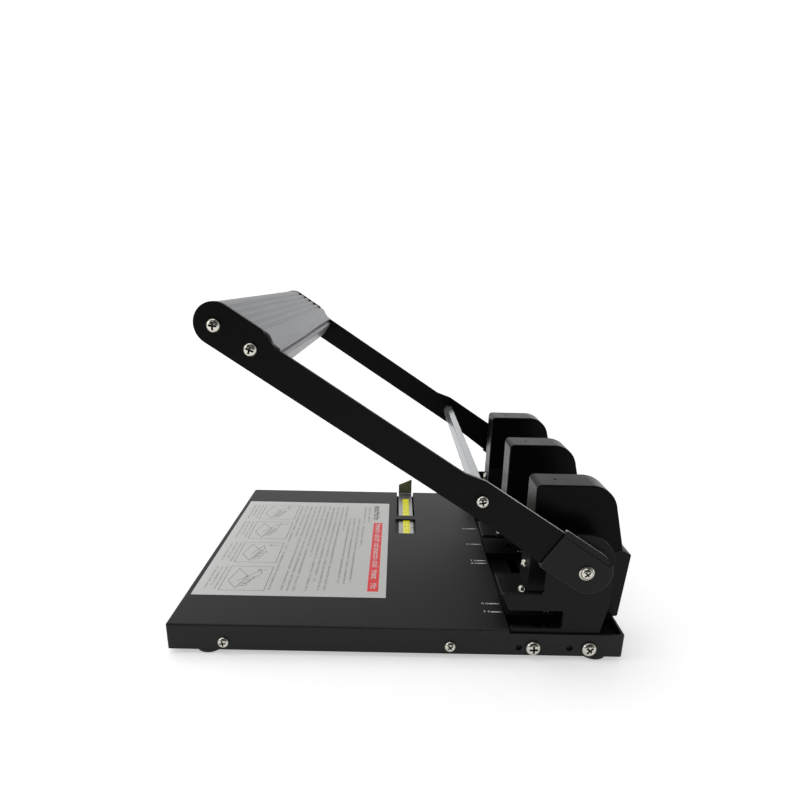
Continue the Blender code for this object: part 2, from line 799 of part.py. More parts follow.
def return_spring_mesh():
    """Compression spring between the bridge and the pin's cap."""
    low = inner_top + gap + spring_wire
    high = pin_top - cap_thickness - gap - spring_wire
    curve = bpy.data.curves.new("return_spring", "CURVE")
    curve.dimensions = "3D"
    curve.bevel_depth = spring_wire
    curve.bevel_resolution = 1
    curve.use_fill_caps = True
    steps = spring_turns * spring_points
    line = curve.splines.new("POLY")
    line.points.add(steps)
    for step, point in enumerate(line.points):
        angle = 2 * math.pi * step / spring_points
        height = low + (high - low) * step / steps
        point.co = (spring_radius * math.cos(angle), spring_radius * math.sin(angle), height, 1)
    thing = bpy.data.objects.new("return_spring", curve)
    bpy.context.scene.collection.objects.link(thing)
    print("Spring: least gap between turns %.2f mm" % (
        1000 * ((high - low) / spring_turns - 2 * spring_wire)))
    return settle(thing)


def screw_mesh(name, sizes, flange=()):
    """Pan head screw along Z: head above, shank below. A flange is points between the two."""
    head, height, shank, length = sizes
    return smooth_mesh(settle(lathe(name, [
        (0, height), (head * screw_crown_share, height * (1 - screw_chamfer_share / 4)),
        (head * (1 - screw_chamfer_share / 4), height * screw_crown_share), (head, 0), *flange,
        (shank, 0 if not flange else flange[-1][1]), (shank, -length), (0, -length)],
        steps=screw_steps)))


def heads(rear, finishes):
    """Three like heads, each on an empty of its own."""
    frame = head_frame_mesh()
    cover = smooth_mesh(head_cover_mesh())
    rocker = rocker_mesh()
    pin = smooth_mesh(punch_pin_mesh())
    spring = smooth_mesh(return_spring_mesh())
    column = screw_mesh("column_screw", column_screw)
    dome = screw_mesh("foot_screw", foot_screw)
    lock = screw_mesh("lock_screw", lock_screw)
    for side, x in (("left", -hole_spacing), ("centre", 0.0), ("right", hole_spacing)):
        group = empty("head_axis_" + side, (x, 0, 0), parent=rear)
        piece("head_frame_" + side, frame, finishes["black_steel"], group)
        piece("head_cover_" + side, cover, finishes["black_plastic"], group)
        piece("rocker_" + side, rocker, finishes["spring_steel"], group, (0, pivot_y, pivot_z))
        piece("punch_pin_" + side, pin, finishes["bright_steel"], group, (0, pin_y, 0))
        piece("return_spring_" + side, spring, finishes["spring_steel"], group, (0, pin_y, 0))
        piece("column_screw_" + side, column, finishes["nickel"], group,
              (0, cover_front - gap, column_screw_z), (math.pi / 2, 0, 0))
        piece("foot_screw_" + side, dome, finishes["nickel"], group,
              (foot_screw_x, foot_screw_y, foot_top + gap))
        piece("lock_screw_" + side, lock, finishes["nickel"], group,
              (lock_screw_x, lock_screw_y, lock_seat))


def arm_outline():
    """Side outline of a lever arm, from its pivot end to its paddle, in the arm's own frame."""
    return rounded([(-u, v, radius) for u, v, radius in (
        (arm_pivot_end, arm_high_pivot, arm_pivot_radius), (arm_pivot_end, arm_low_pivot, arm_pivot_radius),
        (arm_taper_start, arm_low_pivot, 0), (arm_taper_end, arm_low, 0),
        (paddle_end, arm_low, paddle_radius), (paddle_end, paddle_high, paddle_radius),
        (paddle_start, paddle_high, paddle_blend), (paddle_neck, arm_high, paddle_blend),
        (arm_rise_start, arm_high, 0), (arm_rise_end, arm_high_pivot, 0))])


def boot_outline(grow, front):
    """Outline of the boot, or with a negative growth of the pocket that holds the arm."""
    radius = arm_pivot_radius + grow
    low = arm_low_pivot - grow
    high = arm_high_pivot + grow
    end = arm_pivot_end - grow
    return rounded([(-end, high, radius), (-front, high, 0), (-front, low, 0), (-end, low, radius)])


def boot_mesh(name):
    """Moulded end cap over the arm's pivot end, with a stepped face."""
    outer = arm_outer + gap + boot_cap
    radius = (boot_high - boot_low) / 2 - gap
    outline = rounded([(-boot_end, boot_high, radius), (-boot_front, boot_high, boot_corner),
                       (-boot_front, boot_low, boot_corner), (-boot_end, boot_low, radius)])
    body = prism(name, outline, "X", arm_inner, outer)
    step = [(-boot_front - overrun, boot_step_rise), (-boot_end - radius / 2, boot_step_rise),
            (-boot_end - radius / 2, boot_high + overrun), (-boot_front - overrun, boot_high + overrun)]
    cut(body,
        prism("pocket_" + name, boot_outline(gap, boot_front + overrun), "X", arm_inner - overrun,
              arm_outer + gap),
        prism("step_" + name, step, "X", outer - boot_step_depth, outer + overrun),
        rod("boot_hole_" + name, lever_screw[2] + 2 * gap, "X", (0, 0), arm_inner, outer + overrun,
            steps=round_steps))
    return settle(body)


def mirrored(mesh, name):
    """The same mesh for the other side of the machine."""
    copy = mesh.copy()
    copy.name = name
    copy.transform(Matrix.Scale(-1, 4, Vector((1, 0, 0))))
    copy.flip_normals()
    return copy


def arm_mesh():
    arm = prism("arm", arm_outline(), "X", arm_inner, arm_outer)
    low = arm_inner - overrun
    high = arm_outer + overrun
    cut(arm, prism("arm_square", polygon(drive_square + 2 * gap, 4, math.pi / 4), "X", low, high))
    for number, u in enumerate((tie_reach, *grip_screw_reach)):
        cut(arm, rod("arm_hole_%d" % number, lever_screw[2] + gap, "X", (-u, screw_rise), low, high,
                     steps=round_steps))
    return settle(arm)


def main_shaft(rear, finish):
    """Hexagonal shaft with round journals and square ends."""
    hexagon = prism("main_shaft", polygon(shaft_flats, 6), "X", -plate_inner + 2 * gap,
                    plate_inner - 2 * gap, parent=rear, location=(0, pivot_y, pivot_z))
    place = dict(parent=rear, location=(0, pivot_y, pivot_z))
    reach = arm_outer - gap
    square = prism("shaft_square", polygon(drive_square, 4, math.pi / 4 - lever_angle), "X", -reach,
                   reach, **place)
    join(hexagon, rod("shaft_journal", journal_radius, "X", (0, 0), -arm_inner + gap, arm_inner - gap,
                      **place), square)
    for side in (-1, 1):
        low, high = sorted((side * (reach + overrun), side * (reach - shaft_thread_depth)))
        cut(hexagon, rod("shaft_thread_%d" % side, lever_screw[2] + gap, "X", (0, 0), low, high,
                         steps=round_steps, **place))
    return finish_piece(hexagon, finish)


def grip_upper_outline():
    """Upper half of the grip: ribbed top, sloping nose, round end, with an even wall."""
    inset = grip_inset
    top = paddle_high - inset
    end = paddle_end - inset
    seam_v = (paddle_high + arm_low) / 2
    radius = paddle_radius - inset
    outer = [(grip_seam_reach, arm_high + grip_seam_gap), (paddle_neck, arm_high + grip_seam_gap)]
    outer += [(paddle_start - paddle_blend / 2, top)]
    for rib in range(grip_rib_count):
        u = grip_rib_start + rib * grip_rib_pitch
        half = grip_rib_pitch / 4
        outer += [(u, top), (u + half / 2, top - grip_rib_depth), (u + 3 * half / 2, top - grip_rib_depth),
                  (u + 2 * half, top)]
    for step in range(arc_steps + 1):
        angle = math.pi / 2 * (1 - step / arc_steps)
        outer.append((end - radius + radius * math.cos(angle), seam_v + radius * math.sin(angle)))
    low = seam_v + grip_seam_gap
    outer[-1] = (end, low)
    inner_radius = radius - grip_wall
    inner = [(end - grip_wall, low)]
    for step in range(1, arc_steps + 1):
        angle = math.pi / 2 * step / arc_steps
        inner.append((end - radius + inner_radius * math.cos(angle),
                      seam_v + inner_radius * math.sin(angle)))
    inner += [(paddle_start, top - grip_wall), (paddle_neck, arm_high - grip_wall),
              (grip_seam_reach, arm_high - grip_wall)]
    return [(-u, v) for u, v in outer + inner]


def grip_lower_outline():
    """Lower half of the grip: round end, flat underside and rolled nose, with an even wall."""
    inset = grip_inset
    end = paddle_end - inset
    seam_v = (paddle_high + arm_low) / 2
    radius = paddle_radius - inset
    wall = grip_wall
    low = seam_v - radius
    nose_high = arm_high - wall - 2 * gap
    outer = []
    for step in range(arc_steps + 1):
        angle = -math.pi / 2 * step / arc_steps
        outer.append((end - radius + radius * math.cos(angle), seam_v + radius * math.sin(angle)))
    outer += [(grip_low_reach, low), (grip_nose_reach + wall, low + grip_nose_radius - wall),
              (grip_nose_reach, grip_nose_rise), (grip_nose_reach + wall / 2, nose_high - wall / 2),
              (grip_nose_reach + wall, nose_high)]
    inner = [(grip_nose_reach + 2 * wall, nose_high), (grip_nose_reach + 2 * wall, nose_high - wall),
             (grip_nose_reach + wall, grip_nose_rise), (grip_nose_reach + 2 * wall, low + grip_nose_radius),
             (grip_low_reach + wall / 2, low + wall)]
    for step in range(arc_steps + 1):
        angle = -math.pi / 2 * (1 - step / arc_steps)
        inner.append((end - radius + (radius - wall) * math.cos(angle),
                      seam_v + (radius - wall) * math.sin(angle)))
    return [(-u, v) for u, v in outer + inner]


def grip(axis, finish):
    """Two-part grip between the arms. The lower part has a post for each screw."""
    half = grip_half_length
    upper = prism("grip_upper", grip_upper_outline(), "X", -half, half, parent=axis)
    finish_piece(upper, finish)
    lower = prism("grip_lower", grip_lower_outline(), "X", -half, half, parent=axis)
    low = (paddle_high + arm_low) / 2 - paddle_radius + grip_wall / 2
    for number, u in enumerate(grip_screw_reach):
        boss = grip_boss_radius
        top = [(-u + boss * math.cos(math.pi * step / 6), screw_rise + boss * math.sin(math.pi * step / 6))
               for step in range(7)]
        post = top + [(-u - boss, low), (-u + boss, low)]
        join(lower, prism("grip_post_%d" % number, post, "X", -half, half, parent=axis))
    for number, u in enumerate(grip_screw_reach):
        cut(lower, rod("grip_bore_%d" % number, lever_screw[2] + gap, "X", (-u, screw_rise),
                       -half - overrun, half + overrun, steps=round_steps, parent=axis))
    finish_piece(lower, finish)


def lever(rear, finishes):
    """Arms, boots, tie bar and grip, all turning with the main shaft."""
    axis = empty("lever_axis", (0, pivot_y, pivot_z), -lever_angle, rear)
    main_shaft(rear, finishes["bright_steel"])
    arm = smooth_mesh(arm_mesh())
    boot = smooth_mesh(boot_mesh("boot"))
    piece("arm_right", arm, finishes["black_paint"], axis)
    piece("arm_left", mirrored(arm, "arm_left"), finishes["black_paint"], axis)
    piece("boot_right", boot, finishes["black_plastic"], axis)
    piece("boot_left", mirrored(boot, "boot_left"), finishes["black_plastic"], axis)
    bar = prism("tie_bar", [(a - tie_reach, b + screw_rise) for a, b in polygon(tie_flats, 6, math.pi / 6)],
                "X", -grip_half_length, grip_half_length, parent=axis)
    for side in (-1, 1):
        low, high = sorted((side * (grip_half_length + overrun), side * (arm_outer - lever_screw[3] - gap)))
        cut(bar, rod("tie_thread_%d" % side, lever_screw[2] + gap, "X", (-tie_reach, screw_rise), low, high,
                     steps=round_steps, parent=axis))
    finish_piece(bar, finishes["bright_steel"], smooth=False)
    grip(axis, finishes["silver_grip"])
    screw = screw_mesh("lever_screw", lever_screw)
    flange = screw_mesh("pivot_screw", pivot_screw,
                        ((washer_radius, 0), (washer_radius, -washer_thickness)))
    face = arm_outer + gap
    boot_face = arm_outer + gap + boot_cap + gap + washer_thickness
    for side, sign in (("left", -1), ("right", 1)):
        turn = (0, sign * math.pi / 2, 0)
        piece("tie_screw_" + side, screw, finishes["nickel"], axis, (sign * face, -tie_reach, screw_rise),
              turn)
        piece("grip_screw_low_" + side, screw, finishes["nickel"], axis,
              (sign * face, -grip_screw_reach[0], screw_rise), turn)
        piece("grip_screw_high_" + side, screw, finishes["nickel"], axis,
              (sign * face, -grip_screw_reach[1], screw_rise), turn)
        piece("pivot_screw_" + side, flange, finishes["nickel"], axis, (sign * boot_face, 0, 0), turn)


def wall_screws(level, rear, finish):
    """Screws through the side walls: two small and two large ones on each side."""
    small = screw_mesh("small_screw", small_screw)
    large = screw_mesh("large_screw", large_screw)
    for side, sign in (("left", -1), ("right", 1)):
        turn = (0, sign * math.pi / 2, 0)
        face = sign * (half_width + gap)
        for place, y in zip(("front", "rear"), small_screw_y):
            piece("wall_screw_%s_%s" % (side, place), small, finish, level, (face, y, side_screw_z), turn)
        for place, y in zip(("front", "rear"), bracket_screw_y):
            piece("bracket_screw_%s_%s" % (side, place), large, finish, rear, (face, y, side_screw_z),
                  turn)


def build():
    tidy_scene()
    finishes = {name: paint(name, *values) for name, values in FINISHES.items()}
    level = empty("table_level", (0, -frame_rear_top / 2, table_height))
    rear = empty("rear_level", (0, half_length, 0), parent=level)
    base_shell(level, rear, finishes["black_paint"])
    bottom_plate(level, finishes["black_paint"])
    feet(level, finishes["rubber"])
    bed_plate(rear, finishes["black_steel"])
    side_plates(rear, finishes["black_paint"])
    chip_tray(rear, finishes["black_plastic"])
    ruler(level, finishes["ruler_steel"])
    ruler_guide(level, finishes["black_steel"])
    heads(rear, finishes)
    lever(rear, finishes)
    wall_screws(level, rear, finishes["nickel"])


build()
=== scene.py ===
# %% [markdown]
# # A three-hole lever punch, dressed for a studio photograph
#
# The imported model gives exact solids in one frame: metres, +Z up, origin on the floor
# under the middle of the machine. This lesson dresses them. Plain solids get finer
# copies with rounded edges, and paint, plastic, plated steel, print and light are added.

import json
import math

import bmesh
import bpy
from mathutils import Matrix, Vector

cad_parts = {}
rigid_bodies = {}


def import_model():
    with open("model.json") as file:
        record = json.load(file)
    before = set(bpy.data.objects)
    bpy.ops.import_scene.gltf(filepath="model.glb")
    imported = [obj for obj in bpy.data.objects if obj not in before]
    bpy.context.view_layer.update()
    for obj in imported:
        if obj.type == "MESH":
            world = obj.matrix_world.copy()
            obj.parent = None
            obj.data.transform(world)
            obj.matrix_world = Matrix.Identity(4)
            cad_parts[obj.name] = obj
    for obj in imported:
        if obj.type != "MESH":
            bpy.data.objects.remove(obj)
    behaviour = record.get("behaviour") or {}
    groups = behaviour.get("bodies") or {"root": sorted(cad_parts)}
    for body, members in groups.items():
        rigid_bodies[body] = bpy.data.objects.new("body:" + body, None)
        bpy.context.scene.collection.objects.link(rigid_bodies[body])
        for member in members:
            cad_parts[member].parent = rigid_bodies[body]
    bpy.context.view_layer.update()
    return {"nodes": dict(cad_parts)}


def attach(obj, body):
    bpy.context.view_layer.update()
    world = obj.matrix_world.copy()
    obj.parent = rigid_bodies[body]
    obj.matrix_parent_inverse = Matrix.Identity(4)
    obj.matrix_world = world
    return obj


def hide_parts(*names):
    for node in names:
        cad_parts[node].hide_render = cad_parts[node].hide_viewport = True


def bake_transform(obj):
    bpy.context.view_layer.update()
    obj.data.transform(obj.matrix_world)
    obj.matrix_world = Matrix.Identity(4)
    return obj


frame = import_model()

# %% [markdown]
# Everything on the machine was measured from the top of its paper table, so two small
# frames save a lot of sums. The first has its origin in the middle of the table, and the
# second lies along the lever: x to the side, -y from the pivot towards the grip.

# %% Frames of the machine
TABLE = Matrix.Translation((0, -0.00275, 0.0235))
REAR = TABLE @ Matrix.Translation((0, 0.1605, 0))
PIVOT = REAR @ Matrix.Translation((0, -0.034, 0.0468))
LEVER_ANGLE = math.radians(32.9)
LEVER = PIVOT @ Matrix.Rotation(-LEVER_ANGLE, 4, "X")
HEADS = {"left": -0.108, "centre": 0.0, "right": 0.108}
HOST = {"left": "head_left", "centre": "base", "right": "head_right"}
print("Pivot at", [round(v, 4) for v in PIVOT.translation])

# %% [markdown]
# ## Shader maths
#
# A pattern is easier to read as a sum than as a web of boxes. One small class wraps a
# socket, so that an expression on it adds its own Math nodes, and one method makes any
# other node from its type, its settings and its inputs.

# %% A socket that does sums
class Value:
    """A number that varies over the surface."""

    def __init__(self, finish, socket):
        self.finish, self.socket = finish, socket

    def sum_with(self, operation, *others, clamp=False):
        inputs = {i + 1: other for i, other in enumerate(others)}
        return self.finish.node("ShaderNodeMath", {"operation": operation, "use_clamp": clamp},
                                {0: self, **inputs})

    def __add__(self, other):
        return self.sum_with("ADD", other)

    def __sub__(self, other):
        return self.sum_with("SUBTRACT", other)

    def __rsub__(self, other):
        return self.finish.node("ShaderNodeMath", {"operation": "SUBTRACT"}, {0: other, 1: self})

    def __mul__(self, other):
        return self.sum_with("MULTIPLY", other)

    __radd__ = __add__
    __rmul__ = __mul__

    def above(self, edge, width):
        """0 below the edge and 1 above it, over a soft width."""
        return self.finish.node("ShaderNodeMapRange", {"interpolation_type": "SMOOTHSTEP"},
                                {"Value": self, "From Min": edge - width, "From Max": edge + width})


# %% A finish and its nodes
class Finish:
    """A material that is built by expressions."""

    def __init__(self, name):
        self.material = bpy.data.materials.new(name)
        self.material.use_nodes = True
        self.tree = self.material.node_tree
        self.shader = self.tree.nodes["Principled BSDF"]
        self.place = Value(self, self.tree.nodes.new("ShaderNodeTexCoord").outputs["Object"])

    def node(self, kind, settings, inputs, output=0):
        made = self.tree.nodes.new(kind)
        for name, value in settings.items():
            if name == "stops":
                for element, (position, colour) in zip(made.color_ramp.elements, value):
                    element.position, element.color = position, colour
            else:
                setattr(made, name, value)
        for key, value in inputs.items():
            self.feed(made.inputs[key], value)
        return Value(self, made.outputs[output])

    def feed(self, socket, value):
        if isinstance(value, Value):
            self.tree.links.new(value.socket, socket)
        else:
            socket.default_value = value

    def noise(self, scale, detail=2.0, roughness=0.5, stretch=(1, 1, 1)):
        place = self.node("ShaderNodeMapping", {}, {"Vector": self.place, "Scale": stretch})
        return self.node("ShaderNodeTexNoise", {}, {"Vector": place, "Scale": scale, "Detail": detail,
                                                    "Roughness": roughness})

    def mix(self, mask, low, high):
        made = self.tree.nodes.new("ShaderNodeMix")
        made.data_type = "RGBA"
        self.feed(made.inputs["Factor"], mask)
        self.feed(made.inputs["A"], low)
        self.feed(made.inputs["B"], high)
        return Value(self, made.outputs["Result"])

    def bump(self, height, strength, distance):
        return self.node("ShaderNodeBump", {}, {"Height": height, "Strength": strength,
                                                "Distance": distance})

    def rubbed(self, scale=900.0, gaps=0.48):
        """A mask of worn edges that also carry a painted highlight: the mesh marks its rounded edges, more
        where they look up, and noise breaks them up.
        """
        return self.attribute("wear") * self.noise(scale, 3.0).above(gaps, 0.12)

    def attribute(self, name):
        return self.node("ShaderNodeAttribute", {"attribute_name": name}, {}, "Fac")

    def towards_rear(self, start, end):
        """0 in front of one place on the machine and 1 behind another."""
        split = self.node("ShaderNodeSeparateXYZ", {}, {"Vector": self.place}, "Y")
        return split.above((start + end) / 2, (end - start) / 2)

    def surface(self, **inputs):
        for name, value in inputs.items():
            self.feed(self.shader.inputs[name.replace("_", " ")], value)
        return self.material


def grey(level, tint=0.0):
    return (level, level, level * (1 + tint), 1.0)


print("Shader helpers ready")

# %% [markdown]
# ## Powder coat
#
# The table, the side plates and the arms are folded or cut steel under black powder
# coat. Its skin is a little uneven, which breaks a reflection up at close range, and the
# colour drifts slightly from place to place. Two noises give the skin, and a third, very
# broad one moves the roughness so that the sheen isn't flat.

# %% Powder coat finishes
def powder_coat(name, level, roughness, sheen, highlight_span=None):
    coat = Finish(name)
    fine = coat.noise(1500, 2.0)
    skin = coat.noise(300, 2.0) * 0.7 + fine * 0.3
    drift = coat.noise(11, 3.0)
    colour = coat.mix(drift, grey(level * 0.86, 0.05), grey(level * 1.14, 0.06))
    # Lighter edges: partly wear, partly a painted highlight that is stronger on bevels that face up.
    colour = coat.mix(coat.rubbed() * 0.6, colour, grey(level * 3 + 0.02, 0.04))
    # Painted highlight: along the marked upper edge near the pivot, the coat turns near white and partly
    # metallic.
    if highlight_span:
        highlight_mask = coat.attribute("shine") * coat.towards_rear(*highlight_span)
        colour = coat.mix(highlight_mask, colour, grey(0.95))
        coat.surface(Metallic=highlight_mask * 0.4)
    return coat.surface(Base_Color=colour, Roughness=drift * 0.08 + fine * 0.06 + (roughness - 0.07),
                        Normal=coat.bump(skin, 0.14, 0.0002), Specular_IOR_Level=sheen)


TABLE_COAT = powder_coat("table powder coat", 0.015, 0.40, 0.18)
# The arm coat carries a painted highlight on the marked upper edge towards the pivot.
ARM_COAT = powder_coat("arm powder coat", 0.0032, 0.36, 0.09, (0.02, 0.105))
PLATE_COAT = powder_coat("plate powder coat", 0.006, 0.42, 0.14)
print("Powder coats:", TABLE_COAT.name, ARM_COAT.name, PLATE_COAT.name)

# %% [markdown]
# ## Moulded plastic, rubber and blackened steel
#
# The head covers and the boots are moulded, with a fine spark grain that comes from the tool. A cell
# pattern with rounded cells is closer to that grain than plain noise. The cast frames inside the heads are
# blackened, with brushed marks and bright edges that are partly wear and partly painted highlight.

# %% Dark finishes
def moulding(name, level, roughness, sheen, edge_wear_and_highlight_level):
    plastic = Finish(name)
    grain = plastic.node("ShaderNodeTexVoronoi", {"feature": "SMOOTH_F1"},
                         {"Vector": plastic.place, "Scale": 1900.0, "Smoothness": 0.6}, "Distance")
    cloud = plastic.noise(24, 3.0)
    handled = plastic.noise(70, 4.0, 0.6).above(0.6, 0.1)
    colour = plastic.mix(cloud, grey(level * 0.8, 0.04), grey(level * 1.2, 0.06))
    # Lighter edges: partly wear, partly a painted highlight that is stronger on bevels that face up.
    worn_and_highlit = plastic.rubbed(700.0, 0.25)
    colour = plastic.mix(worn_and_highlit, colour, grey(edge_wear_and_highlight_level))
    # Painted highlight: the marked upper edge of a boot turns light grey.
    return plastic.surface(Base_Color=plastic.mix(plastic.attribute("shine"), colour, grey(0.70)),
                           Roughness=cloud * 0.10 + (roughness - 0.05) - handled * 0.05,
                           Normal=plastic.bump(grain, 0.12, 0.00012), Specular_IOR_Level=sheen)


def blackened_steel(name):
    steel = Finish(name)
    brushed = steel.noise(900, 2.0, 0.5, (1, 1, 0.06))
    cloud = steel.noise(40, 3.0)
    # Lighter, part-metal edges: partly wear, partly a painted highlight that is stronger on bevels that
    # face up.
    worn_and_highlit = steel.rubbed(600.0)
    black = steel.mix(cloud, grey(0.004, 0.05), grey(0.009, 0.05))
    return steel.surface(Base_Color=steel.mix(worn_and_highlit * 0.7, black, grey(0.22)), Metallic=worn_and_highlit * 0.6,
                         Roughness=brushed * 0.14 + cloud * 0.10 + 0.26, Specular_IOR_Level=0.12,
                         Normal=steel.bump(brushed, 0.05, 0.0001))


def black_rubber():
    rubber = Finish("black rubber")
    dust = rubber.noise(60, 4.0).above(0.55, 0.15)
    return rubber.surface(Base_Color=rubber.mix(dust, grey(0.012), grey(0.035)),
                          Roughness=dust * 0.1 + 0.72, Normal=rubber.bump(rubber.noise(900), 0.2, 0.0002))


COVER_PLASTIC = moulding("head cover plastic", 0.0024, 0.30, 0.07, 0.008)
BOOT_PLASTIC = moulding("boot plastic", 0.0062, 0.40, 0.18, 0.07)
TRAY_PLASTIC = moulding("tray plastic", 0.006, 0.45, 0.2, 0.03)
FRAME_STEEL = blackened_steel("blackened steel")
FOOT_RUBBER = black_rubber()
print("Dark finishes ready")

# %% [markdown]
# ## Bright metal
#
# Four bright metals meet here: plated screws, a drawn hexagonal bar, a satin grip and a
# brushed ruler. Each is a metal with its own colour, roughness and direction of scratches.
# Drawn and brushed marks are noise stretched along the direction of work.

# %% Bright finishes
def bright_metal(name, colour, roughness, stretch, spread=0.10, marks=0.05, spots=0.0, metallic=1.0):
    metal = Finish(name)
    lines = metal.noise(1400, 3.0, 0.6, stretch)
    cloud = metal.noise(35, 3.0)
    stain = metal.noise(260, 4.0, 0.7).above(0.62, 0.08) * spots
    # Painted shade: vertices marked deep inside a screw's recess turn near black.
    deep = metal.attribute("deep").above(0.3, 0.2)
    dark = tuple(c * 0.86 for c in colour[:3]) + (1.0,)
    shade = metal.mix(cloud, dark, colour)
    shade = metal.mix(stain, shade, grey(0.25))
    return metal.surface(Base_Color=metal.mix(deep, shade, grey(0.03)), Metallic=metallic,
                         Roughness=lines * spread + cloud * 0.06 + stain * 0.2 + (roughness - 0.08),
                         Normal=metal.bump(lines, marks, 0.0001))


NICKEL = bright_metal("nickel plate", (0.66, 0.64, 0.57, 1), 0.20, (1, 1, 1), 0.05, 0.03, 0.25)
BAR_STEEL = bright_metal("drawn bright steel", (0.42, 0.435, 0.45, 1), 0.20, (0.02, 1, 1),
                         metallic=0.7)
PIN_STEEL = bright_metal("ground pin steel", (0.70, 0.70, 0.71, 1), 0.16, (1, 1, 30))
SPRING_STEEL = bright_metal("spring steel", (0.52, 0.52, 0.53, 1), 0.30, (1, 1, 1), spots=0.3)
STRIP_STEEL = bright_metal("brushed strip steel", (0.54, 0.545, 0.54, 1), 0.34, (0.02, 1, 1), 0.16)
# The ruler's upright tab gets a darker copy of the strip's steel, a painted shade.
TAB_STEEL_IN_PAINTED_SHADE = bright_metal("tab steel in painted shade", (0.36, 0.37, 0.31, 1), 0.42, (1, 0.05, 1), 0.14)
GRIP_SILVER = bright_metal("satin silver grip", (0.205, 0.212, 0.225, 1), 0.36, (0.015, 1, 1), 0.12, 0.06,
                           metallic=0.45)
print("Bright finishes ready")

# %% [markdown]
# ## Ink, label stock and tape
#
# Print is a thin skin of its own. The label is light paper with a slight tooth, the red
# band and the tape are coated, and every ink has faint mottling, as a flat colour never
# looks printed.

# %% Printed finishes
# An ink can also glow a little, painted light that brightens it.
def printed(name, colour, roughness, mottle=0.10, painted_glow=0.0):
    ink = Finish(name)
    cloud = ink.noise(300, 3.0)
    low = tuple(c * (1 - mottle) for c in colour) + (1.0,)
    return ink.surface(Base_Color=ink.mix(cloud, low, (*colour, 1.0)), Emission_Color=(*colour, 1.0),
                       Emission_Strength=painted_glow,
                       Roughness=cloud * 0.08 + (roughness - 0.04),
                       Normal=ink.bump(ink.noise(2200), 0.05, 0.00005))


LABEL_PAPER = printed("label paper", (0.79, 0.79, 0.77), 0.42, 0.05)
LABEL_GREY = printed("label grey ink", (0.25, 0.25, 0.255), 0.5)
LABEL_DARK = printed("label dark ink", (0.06, 0.06, 0.065), 0.5)
# The red band and the yellow tape glow a little: painted light that brightens them.
LABEL_RED = printed("label red ink", (0.88, 0.03, 0.035), 0.42, painted_glow=0.12)
LABEL_WHITE = printed("label white ink", (0.90, 0.86, 0.86), 0.5)
TABLE_INK = printed("table white ink", (0.85, 0.85, 0.85), 0.5)
TAPE_YELLOW = printed("yellow tape", (0.93, 0.89, 0.03), 0.36, 0.05, painted_glow=0.16)
TAPE_INK = printed("tape ink", (0.08, 0.07, 0.02), 0.5)
print("Printed finishes ready")

# %% [markdown]
# ## Making a finished piece
#
# A finished piece has its place in its mesh and its object at the origin. So each piece
# is drawn in the frame that suits it, its modifiers are worked out, and then the result
# is moved to the machine's frame for good.

# %% Settling a piece
BEVEL_WIDEST = 0.0007
FLATTEST = 0.0003


def mark_rubbed_edges(form):
    """Mark the vertices in the middle of a bevel for wear and a painted highlight, more on those that look
    up.
    """
    form.normal_update()
    layer = form.verts.layers.float.new("wear")
    folds = [(edge, math.degrees(edge.calc_face_angle_signed())) for edge in form.edges
             if len(edge.link_faces) == 2]
    for low, high, mark in ((20, 60, 1.0), (60, 181, 0.0)):
        for edge, fold in folds:
            if low < fold < high:
                for vert in edge.verts:
                    # Bevels that face up get more, as a painted highlight from the light above.
                    vert[layer] = mark * (0.45 + 0.55 * max(0.0, vert.normal.z))
    for face in form.faces:
        if face.calc_area() / face.calc_perimeter() > BEVEL_WIDEST / 2:
            for vert in face.verts:
                vert[layer] = 0.0


def keep_flat_faces_flat(thing):
    """Let the large face at each bevel decide how the light turns, so that it stays flat."""
    modifier = thing.modifiers.new("weighted", "WEIGHTED_NORMAL")
    modifier.mode, modifier.weight, modifier.keep_sharp = "FACE_AREA", 100, True
    bpy.context.view_layer.update()
    graph = bpy.context.evaluated_depsgraph_get()
    mesh = bpy.data.meshes.new_from_object(thing.evaluated_get(graph))
    thing.modifiers.clear()
    thing.data = mesh


def settled(thing, name, material, angle=30.0):
    """Work out a thing's modifiers, put its place into its mesh and shade it."""
    bpy.context.view_layer.update()
    graph = bpy.context.evaluated_depsgraph_get()
    mesh = bpy.data.meshes.new_from_object(thing.evaluated_get(graph))
    mesh.transform(thing.matrix_world)
    mesh.materials.clear()
    mesh.materials.append(material)
    form = bmesh.new()
    form.from_mesh(mesh)
    bmesh.ops.remove_doubles(form, verts=form.verts, dist=0.000002)
    if thing.dimensions.z > FLATTEST:
        bmesh.ops.recalc_face_normals(form, faces=form.faces)
    mark_rubbed_edges(form)
    form.to_mesh(mesh)
    form.free()
    mesh.shade_smooth()
    mesh.set_sharp_from_angle(angle=math.radians(angle))
    for modifier in list(thing.modifiers):
        tool = getattr(modifier, "object", None)
        if tool:
            bpy.data.objects.remove(tool, do_unlink=True)
    bpy.data.objects.remove(thing, do_unlink=True)
    made = bpy.data.objects.new(name, mesh)
    bpy.context.scene.collection.objects.link(made)
    keep_flat_faces_flat(made)
    return made


def mounted(thing, body, slot, *nodes):
    """Ride a piece on its body and hide the solids that it replaces."""
    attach(thing, body)
    if nodes:
        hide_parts(*nodes)
    return thing


print("Settling helpers ready")

